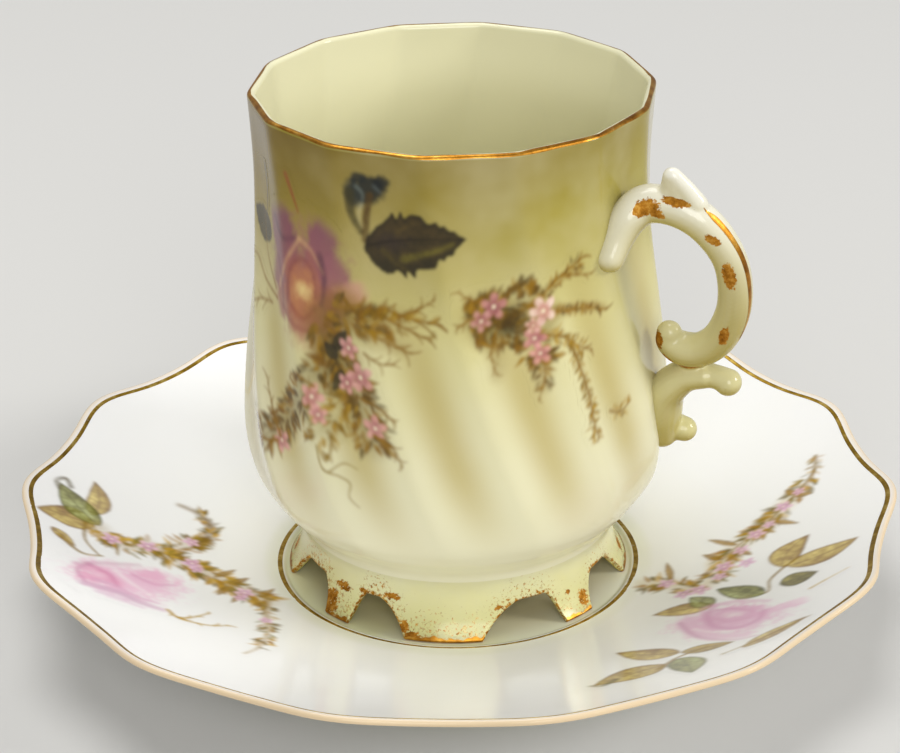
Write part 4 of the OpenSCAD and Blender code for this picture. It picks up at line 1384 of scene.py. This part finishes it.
cup_outside = porcelain("cup_glaze_outside", *CUP_GROUND, pool_and_shade=CUP_POOL_AND_SHADE, shine=CUP_SHINE)
cup_painted = porcelain("cup_glaze_painted", *CUP_GROUND, pool_and_shade=CUP_POOL_AND_SHADE, paint=True, shine=CUP_SHINE)
cup_inside = porcelain("cup_glaze_inside", *INSIDE_GROUND)
foot_glaze = porcelain("foot_glaze", *FOOT_GROUND, pool_and_shade=FOOT_INSIDE_SHADE, gilt=CUP_GOLD, glow=0.6)
handle_glaze = porcelain("handle_glaze", *HANDLE_SHADED_GROUND, pool_and_shade=HANDLE_UNDERSIDE_SHADE, gilt=CUP_GOLD)
saucer_glaze = porcelain("saucer_glaze", *SAUCER_GROUND, pool_and_shade=SAUCER_PAINTED_SHADE, shine=SAUCER_SHINE)
saucer_painted = porcelain("saucer_glaze_painted", *SAUCER_GROUND, paint=True, shine=SAUCER_SHINE)
saucer_gold = gold("fired_gold_saucer", SAUCER_GOLD, "EFEBDC")
cup_gold = gold("fired_gold_cup", CUP_GOLD, "E0D8B4")


# Pieces

settle(saucer_mesh(), "saucer", "saucer_glaze", [saucer_glaze], "saucer")
turn = full_turn(SCALLOPS * 48)
heavy = 0.5 - 0.5 * np.cos(2 * (turn - GILT_THIN_SIDE))
edge_width = 0.55 + 0.4 * heavy + 0.12 * np.sin(5 * turn + 1)
edge_line = saucer_line("saucer_edge_line", scallop_r(turn) - EDGE_LINE_INSET, edge_width)
settle(edge_line, "saucer", "gilding", [saucer_gold], "saucer_rim_gilding")
well_width = 0.4 + 0.5 * heavy
well_line = saucer_line("saucer_well_line", np.full(turn.shape, WELL_R + WELL_LINE_OUT), well_width)
settle(well_line, "saucer", "gilding", [saucer_gold], "saucer_well_gilding")
settle(paint_saucer_left(), "saucer", "saucer_glaze", [saucer_painted])
settle(paint_saucer_right(), "saucer", "saucer_glaze", [saucer_painted])

bowl, inner_faces = cup_mesh()
settle(bowl, "cup", "cup_glaze", [cup_outside, cup_inside], "cup_body")
bowl.data.polygons.foreach_set("material_index", inner_faces)
settle(cup_lip_mesh(), "cup", "gilding", [cup_gold], "cup_rim_gilding")
settle(paint_rose_spray(), "cup", "cup_glaze", [cup_painted])
settle(paint_blossom_spray(), "cup", "cup_glaze", [cup_painted])
settle(foot_mesh(), "cup", "cup_glaze", [foot_glaze], "cup_foot")
settle(foot_gilding_mesh(), "cup", "gilding", [cup_gold], "cup_foot_gilding")
handle = settle(handle_mesh(), "cup", "cup_glaze", [handle_glaze], "cup_handle")
settle(handle_gilding_mesh(handle), "cup", "gilding", [cup_gold], "cup_handle_gilding")


# Floor, light and camera

FLOOR_HALF = 3000.0


def floor():
    n = Nodes("pale_floor")
    n.shade(Base_Color=srgb("D4D3D0"), Roughness=0.9, Specular_IOR_Level=0.1)
    corners = FLOOR_HALF * np.array([(-1, -1, 0), (1, -1, 0), (1, 1, 0), (-1, 1, 0)])
    plane = make_mesh("floor", corners, np.arange(4)[None])
    plane.data.materials.append(n.material)


# The camera, from the middle of the well's shoulder: angles in degrees, lengths in millimetres
VIEW_TURN = 22.0
VIEW_RISE = 29.4
VIEW_DISTANCE = 475.5
VIEW_PITCH = 25.55
VIEW_YAW = -0.09
VIEW_ROLL = -0.75
VIEW_SIDESTEP = -0.35
LENS = 106.0
SENSOR_W = 36.0


def aim_camera():
    data = bpy.data.cameras.new("camera")
    data.lens = LENS
    data.sensor_width = SENSOR_W
    data.sensor_fit = "HORIZONTAL"
    data.clip_start = 0.01
    camera = add_object("camera", data)
    rise, pitch = math.radians(VIEW_RISE), math.radians(VIEW_PITCH)
    yaw, roll = math.radians(VIEW_YAW), math.radians(VIEW_ROLL)
    ahead = Vector((math.sin(yaw) * math.cos(pitch), math.cos(yaw) * math.cos(pitch), -math.sin(pitch)))
    level = ahead.cross(Vector((0, 0, 1))).normalized()
    over = level.cross(ahead)
    right = math.cos(roll) * level + math.sin(roll) * over
    up = math.cos(roll) * over - math.sin(roll) * level
    place = Vector((0, -math.cos(rise), math.sin(rise))) * VIEW_DISTANCE + VIEW_SIDESTEP * right
    spin = Matrix.Rotation(math.radians(VIEW_TURN), 3, "Z")
    axes = Matrix((spin @ right, spin @ up, spin @ -ahead)).transposed()
    camera.matrix_world = axes.to_4x4()
    camera.location = (spin @ place + Vector((0, 0, SHOULDER_Z))) * MM
    bpy.context.scene.camera = camera


# Lamps: azimuth from the camera's side to its right, elevation, distance and size in metres, power, colour
LAMPS = {
    "over": (-140, 75, 1.0, 0.7, 5.2, (1.0, 1.0, 1.0)),
    "side": (78, 26, 3.0, 1.13, 37.8, (1.0, 0.995, 0.985)),
    "front": (4, 23, 3.2, 2.0, 45.0, (1.0, 1.0, 0.99)),
}
LAMP_AIM_Z = 40.0


def area_light(name, azimuth, elevation, distance, size, power, colour):
    """A soft round lamp that is aimed at the cup."""
    data = bpy.data.lights.new(name, "AREA")
    data.shape = "DISK"
    data.size = size
    data.energy = power
    data.color = colour
    lamp = add_object(name, data)
    a, e = math.radians(azimuth + VIEW_TURN), math.radians(elevation)
    back = Vector((math.sin(a) * math.cos(e), -math.cos(a) * math.cos(e), math.sin(e)))
    lamp.location = back * distance + Vector((0, 0, LAMP_AIM_Z * MM))
    lamp.rotation_mode = "QUATERNION"
    lamp.rotation_quaternion = back.to_track_quat("Z", "Y")


SKY_STRENGTH = 0.36


def world(strength):
    sky = bpy.data.worlds.new("studio")
    sky.use_nodes = True
    background = sky.node_tree.nodes["Background"]
    background.inputs["Color"].default_value = (1.0, 1.0, 0.99, 1.0)
    background.inputs["Strength"].default_value = strength
    bpy.context.scene.world = sky


floor()
aim_camera()
for lamp_name, lamp_values in LAMPS.items():
    area_light(lamp_name, *lamp_values)
world(SKY_STRENGTH)
bpy.context.scene.view_settings.view_transform = "Standard"
